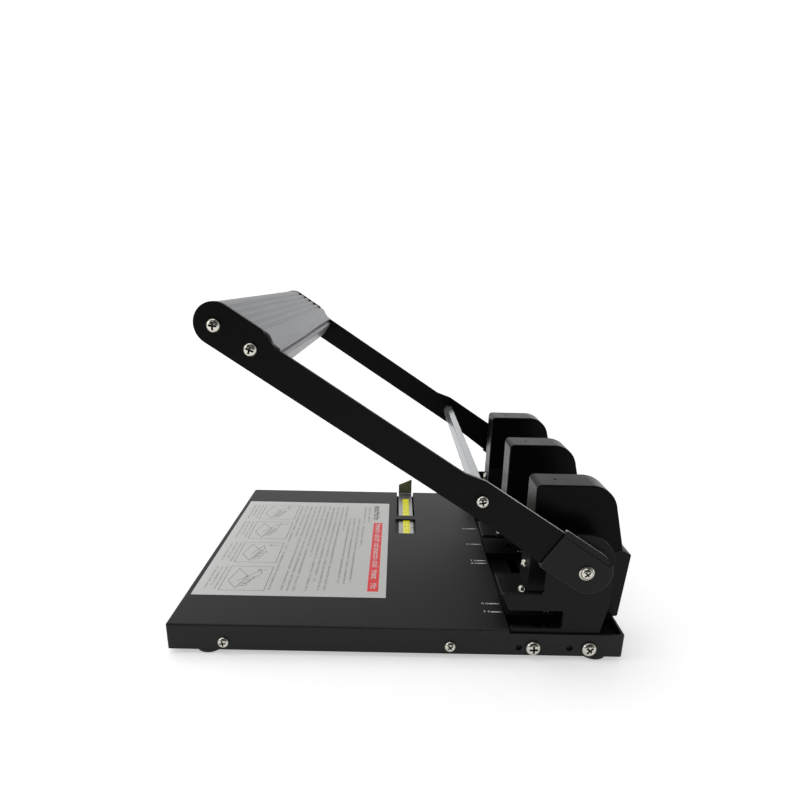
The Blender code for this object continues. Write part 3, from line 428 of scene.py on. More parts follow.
# %% Drawing a prism with rounded corners
def rounded(corners, steps=14):
    """Outline points, with each corner given as (a, b, radius) turned into an arc."""
    points = []
    for index, (a, b, radius) in enumerate(corners):
        here = Vector((a, b))
        if not radius:
            points.append((a, b))
            continue
        before = (Vector(corners[index - 1][:2]) - here).normalized()
        after = (Vector(corners[(index + 1) % len(corners)][:2]) - here).normalized()
        half = before.angle(after) / 2
        middle = here + (before + after).normalized() * (radius / math.sin(half))
        first = here + before * (radius / math.tan(half)) - middle
        last = here + after * (radius / math.tan(half)) - middle
        sweep = first.angle_signed(last)
        for step in range(steps + 1):
            arm = first.copy()
            arm.rotate(Matrix.Rotation(-sweep * step / steps, 2))
            points.append(tuple(middle + arm))
    return points


def prism(outline, axis, low, high, place=None):
    """Extrude an outline along X, Y or Z in a given frame."""
    spots = {"X": lambda a, b, c: (c, a, b), "Y": lambda a, b, c: (a, c, b), "Z": lambda a, b, c: (a, b, c)}
    spot = spots[axis]
    form = bmesh.new()
    ring = [form.verts.new(spot(a, b, low)) for a, b in outline]
    face = form.faces.new(ring)
    grown = bmesh.ops.extrude_face_region(form, geom=[face])
    moved = [item for item in grown["geom"] if isinstance(item, bmesh.types.BMVert)]
    bmesh.ops.translate(form, verts=moved, vec=spot(0, 0, high - low))
    bmesh.ops.recalc_face_normals(form, faces=form.faces)
    mesh = bpy.data.meshes.new("form")
    form.to_mesh(mesh)
    form.free()
    thing = bpy.data.objects.new("form", mesh)
    bpy.context.scene.collection.objects.link(thing)
    thing.matrix_world = place if place is not None else TABLE
    return thing


def block(x, y, z, place=None):
    return prism([(x[0], y[0]), (x[1], y[0]), (x[1], y[1]), (x[0], y[1])], "Z", z[0], z[1], place)


def rod(radius, axis, centre, low, high, place=None, steps=48):
    turn = 2 * math.pi / steps
    ring = [(centre[0] + radius * math.cos(turn * i), centre[1] + radius * math.sin(turn * i))
            for i in range(steps)]
    return prism(ring, axis, low, high, place)


def carve(thing, operation, *tools):
    for tool in tools:
        tool.hide_render = True
        modifier = thing.modifiers.new("carve", "BOOLEAN")
        modifier.operation = operation
        modifier.solver = "EXACT"
        modifier.object = tool
    return thing


def soften(thing, width, segments=3, angle=30.0):
    """Round the edges with a bevel."""
    modifier = thing.modifiers.new("soften", "BEVEL")
    modifier.width = width
    modifier.segments = segments
    modifier.limit_method = "ANGLE"
    modifier.angle_limit = math.radians(angle)
    modifier.miter_outer = "MITER_ARC"
    modifier.use_clamp_overlap = True
    return thing


print("Drawing helpers ready")

# %% [markdown]
# ## Dressing a plain solid
#
# A flat bracket needs no redrawing. A copy of its solid, with loose triangles merged and
# flat faces joined, takes a fine bevel well, and that thin bright line along each edge is
# most of what makes sheet metal look real.

# %% Dress a CAD node
def dressed(node, body, slot, material, bevel=0.0003, segments=2, angle=40.0):
    source = frame["nodes"][node]
    copy = bpy.data.objects.new("copy", source.data.copy())
    bpy.context.scene.collection.objects.link(copy)
    copy.matrix_world = source.matrix_world.copy()
    form = bmesh.new()
    form.from_mesh(copy.data)
    bmesh.ops.remove_doubles(form, verts=form.verts, dist=0.000002)
    bmesh.ops.dissolve_limit(form, angle_limit=math.radians(1.0), verts=form.verts, edges=form.edges)
    form.to_mesh(copy.data)
    form.free()
    if bevel:
        soften(copy, bevel, segments, angle)
    return mounted(settled(copy, "dressed_" + node, material, 35.0), body, slot, node)


dressed("bed_plate", "base", "black_steel", FRAME_STEEL)
dressed("ruler_guide", "base", "black_steel", FRAME_STEEL)
dressed("bottom_plate", "base", "black_paint", PLATE_COAT)
dressed("chip_tray", "tray", "black_plastic", TRAY_PLASTIC)
dressed("main_shaft", "lever", "bright_steel", BAR_STEEL, 0.0002)
for side in HEADS:
    dressed("head_frame_" + side, HOST[side], "black_steel", FRAME_STEEL, 0.00045, 3)
    dressed("rocker_" + side, "rocker_" + side, "spring_steel", SPRING_STEEL, 0.0003)
print("Dressed solids:", 5 + 2 * len(HEADS))

# %% [markdown]
# ## The folded base
#
# One sheet makes the table and its front and side walls. The bends are tight, so the
# near edge catches a thin line of light. The table stops short behind, where a lip is
# folded down, and the walls behind it are a little lower. A notch and a window leave
# room for the paper stop. Round holes in the side walls take screws, and four stay open.

# %% Base shell
WALL_HOLES = [(-0.1208, 0.0023), (0.0388, 0.0023), (0.0972, 0.003), (0.1365, 0.003),
              (0.0873, 0.0024), (0.1229, 0.0024)]


def bent_box():
    thing = block((-0.1463, 0.1463), (-0.1605, 0.1605), (-0.02, 0))
    form = bmesh.new()
    form.from_mesh(thing.data)
    bends = [edge for edge in form.edges if max(vert.co.z for vert in edge.verts) > -0.001]
    bmesh.ops.bevel(form, geom=bends, offset=0.0016, segments=6, profile=0.5, affect="EDGES")
    form.to_mesh(thing.data)
    form.free()
    return thing


def base_shell():
    shell = bent_box()
    notch = rounded([(-0.148, -0.0013, 0), (-0.1463, -0.0013, 0), (-0.1443, 0.0007, 0.002),
                     (-0.072, 0.0007, 0.0004), (-0.072, 0.0186, 0.0004), (-0.1443, 0.0186, 0.002),
                     (-0.1463, 0.0206, 0), (-0.148, 0.0206, 0)], 6)
    window = rounded([(-0.062, -0.0008, 0.0004), (-0.025, -0.0008, 0.0004), (-0.025, 0.0192, 0.0004),
                      (-0.062, 0.0192, 0.0004)], 4)
    inner = (-0.1448, 0.1448)
    carve(shell, "DIFFERENCE",
          block(inner, (-0.159, 0.078), (-0.021, -0.0015)),
          block(inner, (0.077, 0.0805), (-0.021, -0.007)),
          block(inner, (0.0795, 0.159), (-0.021, 0.001)),
          block((-0.15, 0.15), (0.0795, 0.165), (-0.0029, 0.001)),
          block((-0.1199, 0.1199), (0.158, 0.162), (-0.019, -0.0098)),
          prism(notch, "Z", -0.0025, 0.001), prism(window, "Z", -0.0025, 0.001),
          block((-0.15, -0.1438), (0.0007, 0.0186), (-0.0052, 0.001)),
          *(rod(radius, "X", (y, -0.0138), -0.15, 0.15) for y, radius in WALL_HOLES))
    soften(shell, 0.00022, 2, 50.0)
    return mounted(settled(shell, "folded_base", TABLE_COAT, 30.0), "base", "black_paint", "base_shell")


base = base_shell()
print("Base faces:", len(base.data.polygons))

# %% [markdown]
# ## Side plates
#
# Each side plate is cut from 3 mm steel. Its crown is two arcs, its nose reaches over the
# paper throat, and the lever's shaft turns in its round hole. Cut edges get a fine bevel,
# because the edge of the crown is the brightest line at this corner of the machine.

# %% Side plates
PLATE_OUTLINE = rounded([
    (-0.0799, -0.0185, 0), (-0.0799, 0.0008, 0.0015), (-0.0443, 0.0008, 0.0004),
    (-0.0443, 0.0145, 0.0015), (-0.0823, 0.0145, 0.001), (-0.0877, 0.027, 0.001),
    (-0.059, 0.027, 0.001), (-0.059, 0.0715, 0.021), (-0.0137, 0.0715, 0.021),
    (-0.0137, 0.018, 0.0005), (-0.0175, -0.002, 0), (-0.0175, -0.0185, 0)])


def side_plate(side, sign):
    low, high = sorted((sign * 0.1415, sign * 0.1445))
    plate = prism(PLATE_OUTLINE, "X", low, high, REAR)
    carve(plate, "DIFFERENCE", rod(0.0063, "X", (-0.034, 0.0468), -0.15, 0.15, REAR),
          *(rod(0.003, "X", (y, -0.0138), -0.15, 0.15, REAR) for y in (-0.0633, -0.024)))
    soften(plate, 0.0003, 2)
    return mounted(settled(plate, "plate_" + side, PLATE_COAT), "base", "black_paint", "side_plate_" + side)


for side, sign in (("left", -1), ("right", 1)):
    side_plate(side, sign)
print("Side plates:", len(PLATE_OUTLINE), "outline points")

# %% [markdown]
# ## Lever arms
#
# An arm is a blank with one long straight run. It widens towards the pivot in two short
# tapers, and at the grip it steps up by a soft S to a round paddle. The outline is drawn
# along the arm, so the numbers read as they would on a drawing of the blank.

# %% Arms
def arm_outline():
    corners = [(-0.015, 0.0138, 0.0125), (-0.015, -0.012, 0.0125), (0.032, -0.012, 0.02),
               (0.060, -0.0102, 0.02), (0.2953, -0.0102, 0.01265), (0.2953, 0.0152, 0.01265),
               (0.258, 0.0152, 0.0075), (0.246, 0.0104, 0.0075), (0.107, 0.0104, 0.01),
               (0.093, 0.0138, 0.01)]
    return rounded([(-u, v, radius) for u, v, radius in corners], 20)


def rub_upper_edge(thing, inner, outer, height):
    """Mark the upper edge near the pivot, where a painted highlight stands in for reflected light."""
    towards_lever = LEVER.inverted()
    shine = thing.data.attributes.new("shine", "FLOAT", "POINT")
    for vert, mark in zip(thing.data.vertices, shine.data):
        spot = towards_lever @ vert.co
        mark.value = float(inner < abs(spot.x) < outer and spot.z > height and spot.y < 0.006)
    return thing


def arm(side, sign):
    low, high = sorted((sign * 0.145, sign * 0.148))
    blank = prism(arm_outline(), "X", low, high, LEVER)
    carve(blank, "DIFFERENCE", block((-0.15, 0.15), (-0.0046, 0.0046), (-0.0046, 0.0046), LEVER),
          *(rod(0.0025, "X", (-u, 0.0014), -0.15, 0.15, LEVER) for u in (0.0869, 0.2579, 0.2826)))
    soften(blank, 0.00055, 3)
    # The arm's upper edge near the pivot gets a painted highlight.
    made = rub_upper_edge(settled(blank, "lever_arm_" + side, ARM_COAT), 0.14505, 0.14795, 0.013)
    return mounted(made, "lever", "black_paint", "arm_" + side)


for side, sign in (("left", -1), ("right", 1)):
    arm(side, sign)
print("Arm outline points:", len(arm_outline()))

# %% [markdown]
# ## Boots
#
# A moulded cap hides each arm's pivot end. It is round behind and square in front, its
# rim is softly rolled, and its face steps back along the upper edge, which leaves one
# fine shadow line across the face.

# %% Boots
def boot(side, sign):
    outline = rounded([(0.0176, 0.0162, 0.01495), (-0.029, 0.0162, 0.0012), (-0.029, -0.014, 0.0012),
                       (0.0176, -0.014, 0.01495)], 24)
    low, high = sorted((sign * 0.145, sign * 0.1499))
    cap = prism(outline, "X", low, high, LEVER)
    soften(cap, 0.0005, 4, 35.0)
    pocket = rounded([(0.0153, 0.0141, 0.0128), (-0.031, 0.0141, 0), (-0.031, -0.0123, 0),
                      (0.0153, -0.0123, 0.0128)], 20)
    pocket_low, pocket_high = sorted((sign * 0.144, sign * 0.1483))
    step_low, step_high = sorted((sign * 0.1492, sign * 0.151))
    carve(cap, "DIFFERENCE", prism(pocket, "X", pocket_low, pocket_high, LEVER),
          block((step_low, step_high), (-0.031, 0.0102), (0.0118, 0.018), LEVER),
          rod(0.0028, "X", (0, 0), -0.152, 0.152, LEVER))
    # The boot's upper edge gets a painted highlight.
    made = rub_upper_edge(settled(cap, "arm_boot_" + side, BOOT_PLASTIC), 0.1453, 0.14915, 0.0152)
    return mounted(made, "lever", "black_plastic", "boot_" + side)


for side, sign in (("left", -1), ("right", 1)):
    boot(side, sign)
print("Boots are 4.9 mm deep")

# %% [markdown]
# ## Head covers
#
# Each cover is a thin moulding with upright sides, a flat top that falls away behind in
# one large arc, and an open bottom. Two parts of its rim matter from the front: the tight
# radius between top and front, and the small bevel round both sides. A pin hole and the
# mould's parting line break the top.

# %% Head covers
def cover_outline(inset, drop, steps):
    slope = 0.0123 / 0.0476
    return rounded([(-0.0657 + inset, 0.045 - drop, 0), (-0.0657 + inset, 0.0986 - inset, 0.0035 - inset),
                    (-0.0128 - inset, 0.0986 - inset, 0.020 - inset),
                    (-0.0005 + slope * drop - inset, 0.051 - drop, 0)], steps)


def head_cover(side, x):
    place = REAR @ Matrix.Translation((x, 0, 0))
    shell = prism(cover_outline(0.0, 0.0, 28), "X", -0.01375, 0.01375, place)
    form = bmesh.new()
    form.from_mesh(shell.data)
    rims = [edge for edge in form.edges if abs(edge.verts[0].co.x - edge.verts[1].co.x) < 0.0001
            and max(vert.co.z for vert in edge.verts) > 0.0513]
    bmesh.ops.bevel(form, geom=rims, offset=0.0011, segments=4, profile=0.5, affect="EDGES")
    form.to_mesh(shell.data)
    form.free()
    arch = [(-0.034 - 0.00753, 0.044), (-0.034 + 0.00753, 0.044)]
    arch += [(-0.034 + 0.00753 * math.cos(math.pi * i / 24), 0.0468 + 0.00753 * math.sin(math.pi * i / 24))
             for i in range(25)]
    carve(shell, "DIFFERENCE", prism(cover_outline(0.0018, 0.001, 16), "X", -0.01195, 0.01195, place),
          prism(arch, "X", -0.015, 0.015, place), rod(0.0011, "Z", (0, -0.0505), 0.095, 0.1, place, 24),
          block((-0.015, 0.015), (-0.02735, -0.0272), (0.0984, 0.1), place))
    return mounted(settled(shell, "cover_" + side, COVER_PLASTIC, 25.0), HOST[side], "black_plastic",
                   "head_cover_" + side)


for side, x in HEADS.items():
    head_cover(side, x)
print("Covers:", len(HEADS), "at a spacing of 108 mm")

# %% [markdown]
# ## Grip
#
# The grip is an aluminium section in two halves. The upper one carries lengthwise
# flutes, so its top reads as bright and dark stripes, and its nose slopes down to the
# arms' upper edge. The lower one wraps the underside, and a dark seam parts them.

# %% Grip
def grip_top():
    """Outer line of the upper half, from its nose to its round end, as points (u, v)."""
    seam, end, radius = 0.0025, 0.2949, 0.0122
    line = [(0.2435, 0.0110), (0.2462, 0.0112)]
    line += [(0.2475 + 0.0065 * i / 8, 0.0113 + 0.0035 * (1 - math.cos(math.pi * i / 8)) / 2)
             for i in range(9)]
    for rib in range(5):
        start = 0.2575 + rib * 0.0056
        for i in range(13):
            part = i / 12
            line.append((start + 0.0028 * part, 0.0148 - 0.0011 * math.sin(math.pi * part) ** 0.6))
    top_end = end - radius
    for i in range(19):
        angle = math.pi / 2 * (1 - i / 18)
        line.append((max(top_end + radius * math.cos(angle), line[-1][0] + 0.00001),
                     seam + 0.0001 + (radius - 0.0001) * math.sin(angle)))
    line[-1] = (end, seam + 0.0006)
    return line


def grip_upper():
    seam, end, radius, wall = 0.0025, 0.2949, 0.0122, 0.0024
    inner = [(end - wall, seam + 0.0006)]
    inner += [(end - radius + (radius - wall) * math.cos(math.pi / 2 * i / 12),
               seam + (radius - wall) * math.sin(math.pi / 2 * i / 12)) for i in range(1, 13)]
    inner += [(0.258, 0.0124), (0.246, 0.0080), (0.2435, 0.0080)]
    thing = prism([(-u, v) for u, v in grip_top() + inner], "X", -0.1447, 0.1447, LEVER)
    return mounted(settled(thing, "grip_top", GRIP_SILVER, 28.0), "lever", "silver_grip", "grip_upper")


def grip_lower():
    seam, end, radius, wall = 0.0025, 0.2949, 0.0122, 0.0024
    low = seam - radius
    outer = [(end - radius + radius * math.cos(-math.pi / 2 * i / 16),
              seam + radius * math.sin(-math.pi / 2 * i / 16)) for i in range(17)]
    outer += rounded([(0.2501, low, 0), (0.2405, low, 0.0058), (0.2405, 0.0074, 0.0016),
                      (0.2429, 0.0074, 0)], 10)[1:]
    inner = [(0.2453, 0.0074), (0.2453, 0.005), (0.2429, 0.0035), (0.2453, low + 0.006),
             (0.2512, low + wall)]
    inner += [(end - radius + (radius - wall) * math.cos(-math.pi / 2 * (1 - i / 12)),
               seam + (radius - wall) * math.sin(-math.pi / 2 * (1 - i / 12))) for i in range(13)]
    thing = prism([(-u, v) for u, v in outer + inner], "X", -0.1447, 0.1447, LEVER)
    posts = []
    for u in (0.2579, 0.2826):
        top = [(-u + 0.0046 * math.cos(math.pi * i / 16), 0.0014 + 0.0046 * math.sin(math.pi * i / 16))
               for i in range(17)]
        posts.append(prism(top + [(-u - 0.0046, low + 0.0012), (-u + 0.0046, low + 0.0012)], "X",
                           -0.1447, 0.1447, LEVER))
    carve(thing, "UNION", *posts)
    carve(thing, "DIFFERENCE", *(rod(0.0025, "X", (-u, 0.0014), -0.15, 0.15, LEVER, 32)
                                 for u in (0.2579, 0.2826)))
    return mounted(settled(thing, "grip_base", GRIP_SILVER, 28.0), "lever", "silver_grip", "grip_lower")


grip_upper()
grip_lower()
print("Grip line points:", len(grip_top()))

# %% [markdown]
# ## Tie bar, pins, springs and feet
#
# The tie bar is drawn hexagonal stock with small chamfers at its ends. Pins and feet are
# turned shapes, so one profile each is spun round. A return spring is a tube along a
# helix, which Geometry Nodes makes from a Spiral curve with named inputs.

# %% Turned pieces
def turned(profile, place, steps=64):
    form = bmesh.new()
    chain = [form.verts.new((radius, 0, height)) for radius, height in profile]
    edges = [form.edges.new(pair) for pair in zip(chain, chain[1:])]
    bmesh.ops.spin(form, geom=chain + edges, cent=(0, 0, 0), axis=(0, 0, 1), angle=2 * math.pi,
                   steps=steps, use_merge=True)
    mesh = bpy.data.meshes.new("turned")
    form.to_mesh(mesh)
    form.free()
    thing = bpy.data.objects.new("turned", mesh)
    bpy.context.scene.collection.objects.link(thing)
    thing.matrix_world = place
    return thing


def tie_bar():
    reach = 0.0095 / 2 / math.cos(math.pi / 6)
    ring = [(-0.0869 + reach * math.cos(math.pi / 6 + math.pi / 3 * i),
             0.0014 + reach * math.sin(math.pi / 6 + math.pi / 3 * i)) for i in range(6)]
    bar = prism(ring, "X", -0.1447, 0.1447, LEVER)
    carve(bar, "DIFFERENCE", *(rod(0.0025, "X", (-0.0869, 0.0014), *sorted((s * 0.146, s * 0.136)), LEVER)
                               for s in (-1, 1)))
    soften(bar, 0.00035, 3)
    return mounted(settled(bar, "cross_bar", BAR_STEEL, 25.0), "lever", "bright_steel", "tie_bar")


def foot(name, x, y):
    profile = [(0, 0), (0.0076, 0), (0.0083, 0.0002), (0.0088, 0.0007), (0.009, 0.0014), (0.009, 0.0024),
               (0.0088, 0.0029), (0.0083, 0.0032), (0.004, 0.0032), (0.004, 0.0047), (0, 0.0047)]
    thing = turned(profile, Matrix.Translation((x, y - 0.00275, 0)))
    return mounted(settled(thing, "pad_" + name, FOOT_RUBBER), "base", "rubber", "foot_" + name)


def punch_pin(side, x):
    collar = 0.0468 + 0.0237 * math.sin(math.radians(19.7)) - 0.0042 - 0.00015
    profile = [(0, 0.0158), (0.0018, 0.0152), (0.0031, 0.0147), (0.0031, collar - 0.003),
               (0.0059, collar - 0.003), (0.0062, collar - 0.0027), (0.0062, collar - 0.0003),
               (0.0059, collar), (0.0031, collar), (0.0031, 0.0922), (0.0049, 0.0922), (0.0052, 0.0925),
               (0.0052, 0.0941), (0.0049, 0.0944), (0, 0.0944)]
    thing = turned(profile, REAR @ Matrix.Translation((x, -0.057, 0)))
    return mounted(settled(thing, "pin_" + side, PIN_STEEL), "punch_" + side, "bright_steel",
                   "punch_pin_" + side)


tie_bar()
for name, x, y in (("left_front", -0.137, -0.133), ("left_rear", -0.137, 0.1425),
                   ("right_front", 0.137, -0.133), ("right_rear", 0.137, 0.1425)):
    foot(name, x, y)
for side, x in HEADS.items():
    punch_pin(side, x)
print("Turned pieces:", 4 + len(HEADS))

# %% [markdown]
# ## Paper stop
#
# The stop is a steel strip under the table. Its far end is folded up, high behind and low
# in front, so that it stands in the table's notch. A yellow tape with a scale lies on the
# strip, and its marks are seen through the notch and the window.

# %% Ruler strip
def ruler_strip():
    side = rounded([(0.052, -0.0028, 0), (0.052, -0.0018, 0), (-0.1463, -0.0018, 0.0008),
                    (-0.1463, 0.0151, 0), (-0.1473, 0.0151, 0), (-0.1473, -0.0028, 0.0017)], 10)
    strip = prism(side, "Y", 0.0026, 0.017)
    slant = [(0.001, 0.0077), (0.017, 0.0151), (0.017, 0.018), (0.001, 0.018)]
    carve(strip, "DIFFERENCE", prism(slant, "X", -0.15, -0.144),
          rod(0.0012, "Z", (-0.044, 0.017), -0.003, -0.001))
    soften(strip, 0.00012, 2, 50.0)
    stop = mounted(settled(strip, "paper_stop", STRIP_STEEL), "ruler", "ruler_steel", "ruler")
    # Faces above the table, the upright tab, take the darker steel: a painted shade.
    stop.data.materials.append(TAB_STEEL_IN_PAINTED_SHADE)
    for face in stop.data.polygons:
        if face.center.z > 0.0235:
            face.material_index = 1
    return stop


ruler_strip()
print("Ruler reaches from -147.3 to 52.0 mm")

# %% [markdown]
# ## Repeats grown by Geometry Nodes
#
# Screws, rows of print, ticks and spring coils all repeat one shape. A small tree grows
# each of them from a few points or lines, with named inputs for what changes from row to
# row. The result is kept as a plain mesh, so the tree is only a tool.

# %% A tree with named inputs
class Growth:
    """A Geometry Nodes tree that turns a drawing of points or lines into a mesh."""

    def __init__(self, name, **inputs):
        self.tree = bpy.data.node_groups.new(name, "GeometryNodeTree")
        self.tree.interface.new_socket("Drawing", in_out="INPUT", socket_type="NodeSocketGeometry")
        self.tree.interface.new_socket("Mesh", in_out="OUTPUT", socket_type="NodeSocketGeometry")
        self.keys = {}
        for label, kind in {**inputs, "finish": "Material"}.items():
            made = self.tree.interface.new_socket(label, in_out="INPUT", socket_type="NodeSocket" + kind)
            self.keys[label] = made.identifier
        self.inputs = self.tree.nodes.new("NodeGroupInput").outputs

    def node(self, kind, settings, inputs):
        made = self.tree.nodes.new(kind)
        for name, value in settings.items():
            setattr(made, name, value)
        for key, value in inputs.items():
            if isinstance(value, bpy.types.NodeSocket):
                self.tree.links.new(value, made.inputs[key])
            else:
                made.inputs[key].default_value = value
        return made.outputs

    def ends(self, geometry):
        real = self.node("GeometryNodeRealizeInstances", {}, {"Geometry": geometry})
        set_finish = self.node("GeometryNodeSetMaterial", {}, {"Geometry": real[0],
                                                               "Material": self.inputs["finish"]})
        self.tree.links.new(set_finish[0], self.tree.nodes.new("NodeGroupOutput").inputs[0])
        return self

    def grow(self, name, drawing, place, finish, **values):
        """Run the tree on a drawing and keep the result as a finished piece."""
        host = bpy.data.objects.new("drawing", drawing)
        bpy.context.scene.collection.objects.link(host)
        host.matrix_world = place
        modifier = host.modifiers.new("growth", "NODES")
        modifier.node_group = self.tree
        for label, value in {**values, "finish": finish}.items():
            modifier[self.keys[label]] = value
        return settled(host, name, finish, 35.0)


def points(places, **fields):
    """A mesh of loose points, with a vector or number on each."""
    mesh = bpy.data.meshes.new("points")
    mesh.from_pydata(places, [], [])
    for name, values in fields.items():
        vector = not isinstance(values[0], (int, float))
        attribute = mesh.attributes.new(name, "FLOAT_VECTOR" if vector else "FLOAT", "POINT")
        for item, value in zip(attribute.data, values):
            if vector:
                item.vector = value
            else:
                item.value = value
    return mesh


def lines(pairs):
    """A mesh of separate straight lines."""
    mesh = bpy.data.meshes.new("lines")
    flat = [end for pair in pairs for end in pair]
    mesh.from_pydata(flat, [(i, i + 1) for i in range(0, len(flat), 2)], [])
    return mesh


print("Growth ready")

# %% [markdown]
# ## Screws
#
# Six kinds of screw hold the machine together. Each kind is modelled once: a domed head
# is spun, then a tapered cross or a hexagon is pressed into it. The tree sets the pattern
# on points whose `aim` says where the head looks and whose `twist` leaves every cross at
# its own angle, as hands do.

# %% Screw patterns
def head_profile(radius, height, steps=14):
    """A domed pan head, from its top to its rim."""
    rim = [radius * math.sin(math.pi / 2 * i / steps) for i in range(steps + 1)]
    return [(r, height * max(0.0, 1 - (r / radius) ** 3.2) ** 0.6) for r in rim]


def cross_recess(radius, height):
    """Two tapered blades and a small cone, as a driver's bit would leave them."""
    blades = []
    for turn in (0, math.pi / 2):
        wide, narrow, deep = radius * 0.62, radius * 0.28, height * 0.80
        side = [(-wide, height + 0.0002), (wide, height + 0.0002), (narrow, height - deep),
                (-narrow, height - deep)]
        place = Matrix.Rotation(turn, 4, "Z")
        blades.append(prism(side, "Y", -radius * 0.135, radius * 0.135, place))
    core = turned([(0, height * 0.1), (radius * 0.18, height * 0.2), (radius * 0.34, height + 0.0002),
                   (0, height + 0.0002)], Matrix.Identity(4), 16)
    return blades + [core]


def mark_recess(screw, radius, height):
    """Give 1 to the vertices that lie below the dome, inside the recess, for a painted shade."""
    deep = screw.data.attributes.new("deep", "FLOAT", "POINT")
    for vert, mark in zip(screw.data.vertices, deep.data):
        out = math.hypot(vert.co.x, vert.co.y)
        dome = height * max(0.0, 1 - (out / radius) ** 3.2) ** 0.6
        mark.value = float(out < radius * 0.7 and 0 < vert.co.z < dome - height * 0.15)


def screw_pattern(kind, radius, height, shank, length, washer=None, socket="cross"):
    low = -washer[1] if washer else 0.0
    profile = head_profile(radius, height)
    if washer:
        profile += [(washer[0] - 0.0003, 0), (washer[0], -0.0003), (washer[0], low)]
    profile += [(shank, low), (shank, -length), (0, -length)]
    thing = turned(profile, Matrix.Identity(4), 48)
    if socket == "cross":
        carve(thing, "DIFFERENCE", *cross_recess(radius, height))
    if socket == "hexagon":
        flat = radius * 0.5
        ring = [(flat * math.cos(math.pi / 3 * i), flat * math.sin(math.pi / 3 * i)) for i in range(6)]
        carve(thing, "DIFFERENCE", prism(ring, "Z", height * 0.35, height + 0.001, Matrix.Identity(4)))
    made = settled(thing, kind, NICKEL, 40.0)
    mark_recess(made, radius, height)
    return made


PATTERNS = {
    "wall": screw_pattern("wall", 0.0041, 0.0024, 0.0020, 0.0085),
    "bracket": screw_pattern("bracket", 0.0054, 0.0031, 0.0027, 0.011),
    "lever": screw_pattern("lever", 0.0044, 0.0030, 0.0022, 0.012),
    "pivot": screw_pattern("pivot", 0.0042, 0.0024, 0.0022, 0.012, washer=(0.0051, 0.0008)),
    "column": screw_pattern("column", 0.0036, 0.0026, 0.0012, 0.0014),
    "dome": screw_pattern("dome", 0.0029, 0.0041, 0.0014, 0.0018, socket="none"),
    "lock": screw_pattern("lock", 0.0031, 0.0029, 0.0017, 0.0063, socket="hexagon"),
}
print("Screw patterns:", ", ".join(PATTERNS))

# %% The screw tree
def screw_growth():
    tree = Growth("screws", pattern="Object")
    pattern = tree.node("GeometryNodeObjectInfo", {}, {"Object": tree.inputs["pattern"]})
    aim = tree.node("GeometryNodeInputNamedAttribute", {"data_type": "FLOAT_VECTOR"}, {"Name": "aim"})
    twist = tree.node("GeometryNodeInputNamedAttribute", {"data_type": "FLOAT"}, {"Name": "twist"})
    turn = tree.node("ShaderNodeCombineXYZ", {}, {"Z": twist[0]})
    facing = tree.node("FunctionNodeAlignRotationToVector", {"axis": "Z"}, {"Vector": aim[0]})
    rotation = tree.node("FunctionNodeRotateRotation", {"rotation_space": "LOCAL"},
                         {"Rotation": facing[0], "Rotate By": turn[0]})
    placed = tree.node("GeometryNodeInstanceOnPoints", {},
                       {"Points": tree.inputs["Drawing"], "Instance": pattern["Geometry"],
                        "Rotation": rotation[0]})
    return tree.ends(placed[0])


SCREWS = screw_growth()


def screws(name, kind, body, place, places, *nodes):
    """Set one kind of screw at places given as (x, y, z, aim, twist in degrees)."""
    drawing = points([spot[:3] for spot in places], aim=[spot[3] for spot in places],
                     twist=[math.radians(spot[4]) for spot in places])
    made = SCREWS.grow(name, drawing, place, NICKEL, pattern=PATTERNS[kind])
    return mounted(made, body, "nickel", *nodes)


LEFT, RIGHT, FRONT, UP = (-1, 0, 0), (1, 0, 0), (0, -1, 0), (0, 0, 1)
screws("wall_screws", "wall", "base", TABLE,
       [(-0.1466, -0.1208, -0.0138, LEFT, 20), (-0.1466, 0.0388, -0.0138, LEFT, 65),
        (0.1466, -0.1208, -0.0138, RIGHT, 8), (0.1466, 0.0388, -0.0138, RIGHT, 40)],
       "wall_screw_left_front", "wall_screw_left_rear", "wall_screw_right_front", "wall_screw_right_rear")
screws("bracket_screws", "bracket", "base", REAR,
       [(-0.1466, -0.0633, -0.0138, LEFT, 12), (-0.1466, -0.024, -0.0138, LEFT, 50),
        (0.1466, -0.0633, -0.0138, RIGHT, 3), (0.1466, -0.024, -0.0138, RIGHT, 47)],
       "bracket_screw_left_front", "bracket_screw_left_rear", "bracket_screw_right_front",
       "bracket_screw_right_rear")
screws("lever_screws", "lever", "lever", LEVER,
       [(sign * 0.1483, -u, 0.0014, aim, twist) for sign, aim, twists in
        ((-1, LEFT, (15, 40, 70)), (1, RIGHT, (44, 10, 28))) for u, twist in
        zip((0.0869, 0.2579, 0.2826), twists)],
       *(part + "_" + side for part in ("tie_screw", "grip_screw_low", "grip_screw_high")
         for side in ("left", "right")))
screws("pivot_screws", "pivot", "lever", LEVER,
       [(-0.151, 0, 0, LEFT, 30), (0.151, 0, 0, RIGHT, 76)], "pivot_screw_left", "pivot_screw_right")
for side, x in HEADS.items():
    screws("column_screw_on_" + side, "column", HOST[side], REAR,
           [(x, -0.066, 0.033, FRONT, 25)], "column_screw_" + side)
    screws("foot_screw_on_" + side, "dome", HOST[side], REAR,
           [(x + 0.012, -0.0692, 0.0173, UP, 0)], "foot_screw_" + side)
    screws("lock_screw_on_" + side, "lock", HOST[side], REAR,
           [(x + 0.0105, -0.049, -0.0032, UP, 10)], "lock_screw_" + side)
for pattern in PATTERNS.values():
    bpy.data.objects.remove(pattern, do_unlink=True)
print("Screws: 4 small, 4 large, 6 on the lever, 2 at the pivot and 9 on the heads")

# %% [markdown]
# ## Return springs
#
# A spring sits between each head's bridge and its pin's cap. Its lower end stays with the head and its
# upper end goes with the pin, but here it is drawn once, in its rest place.

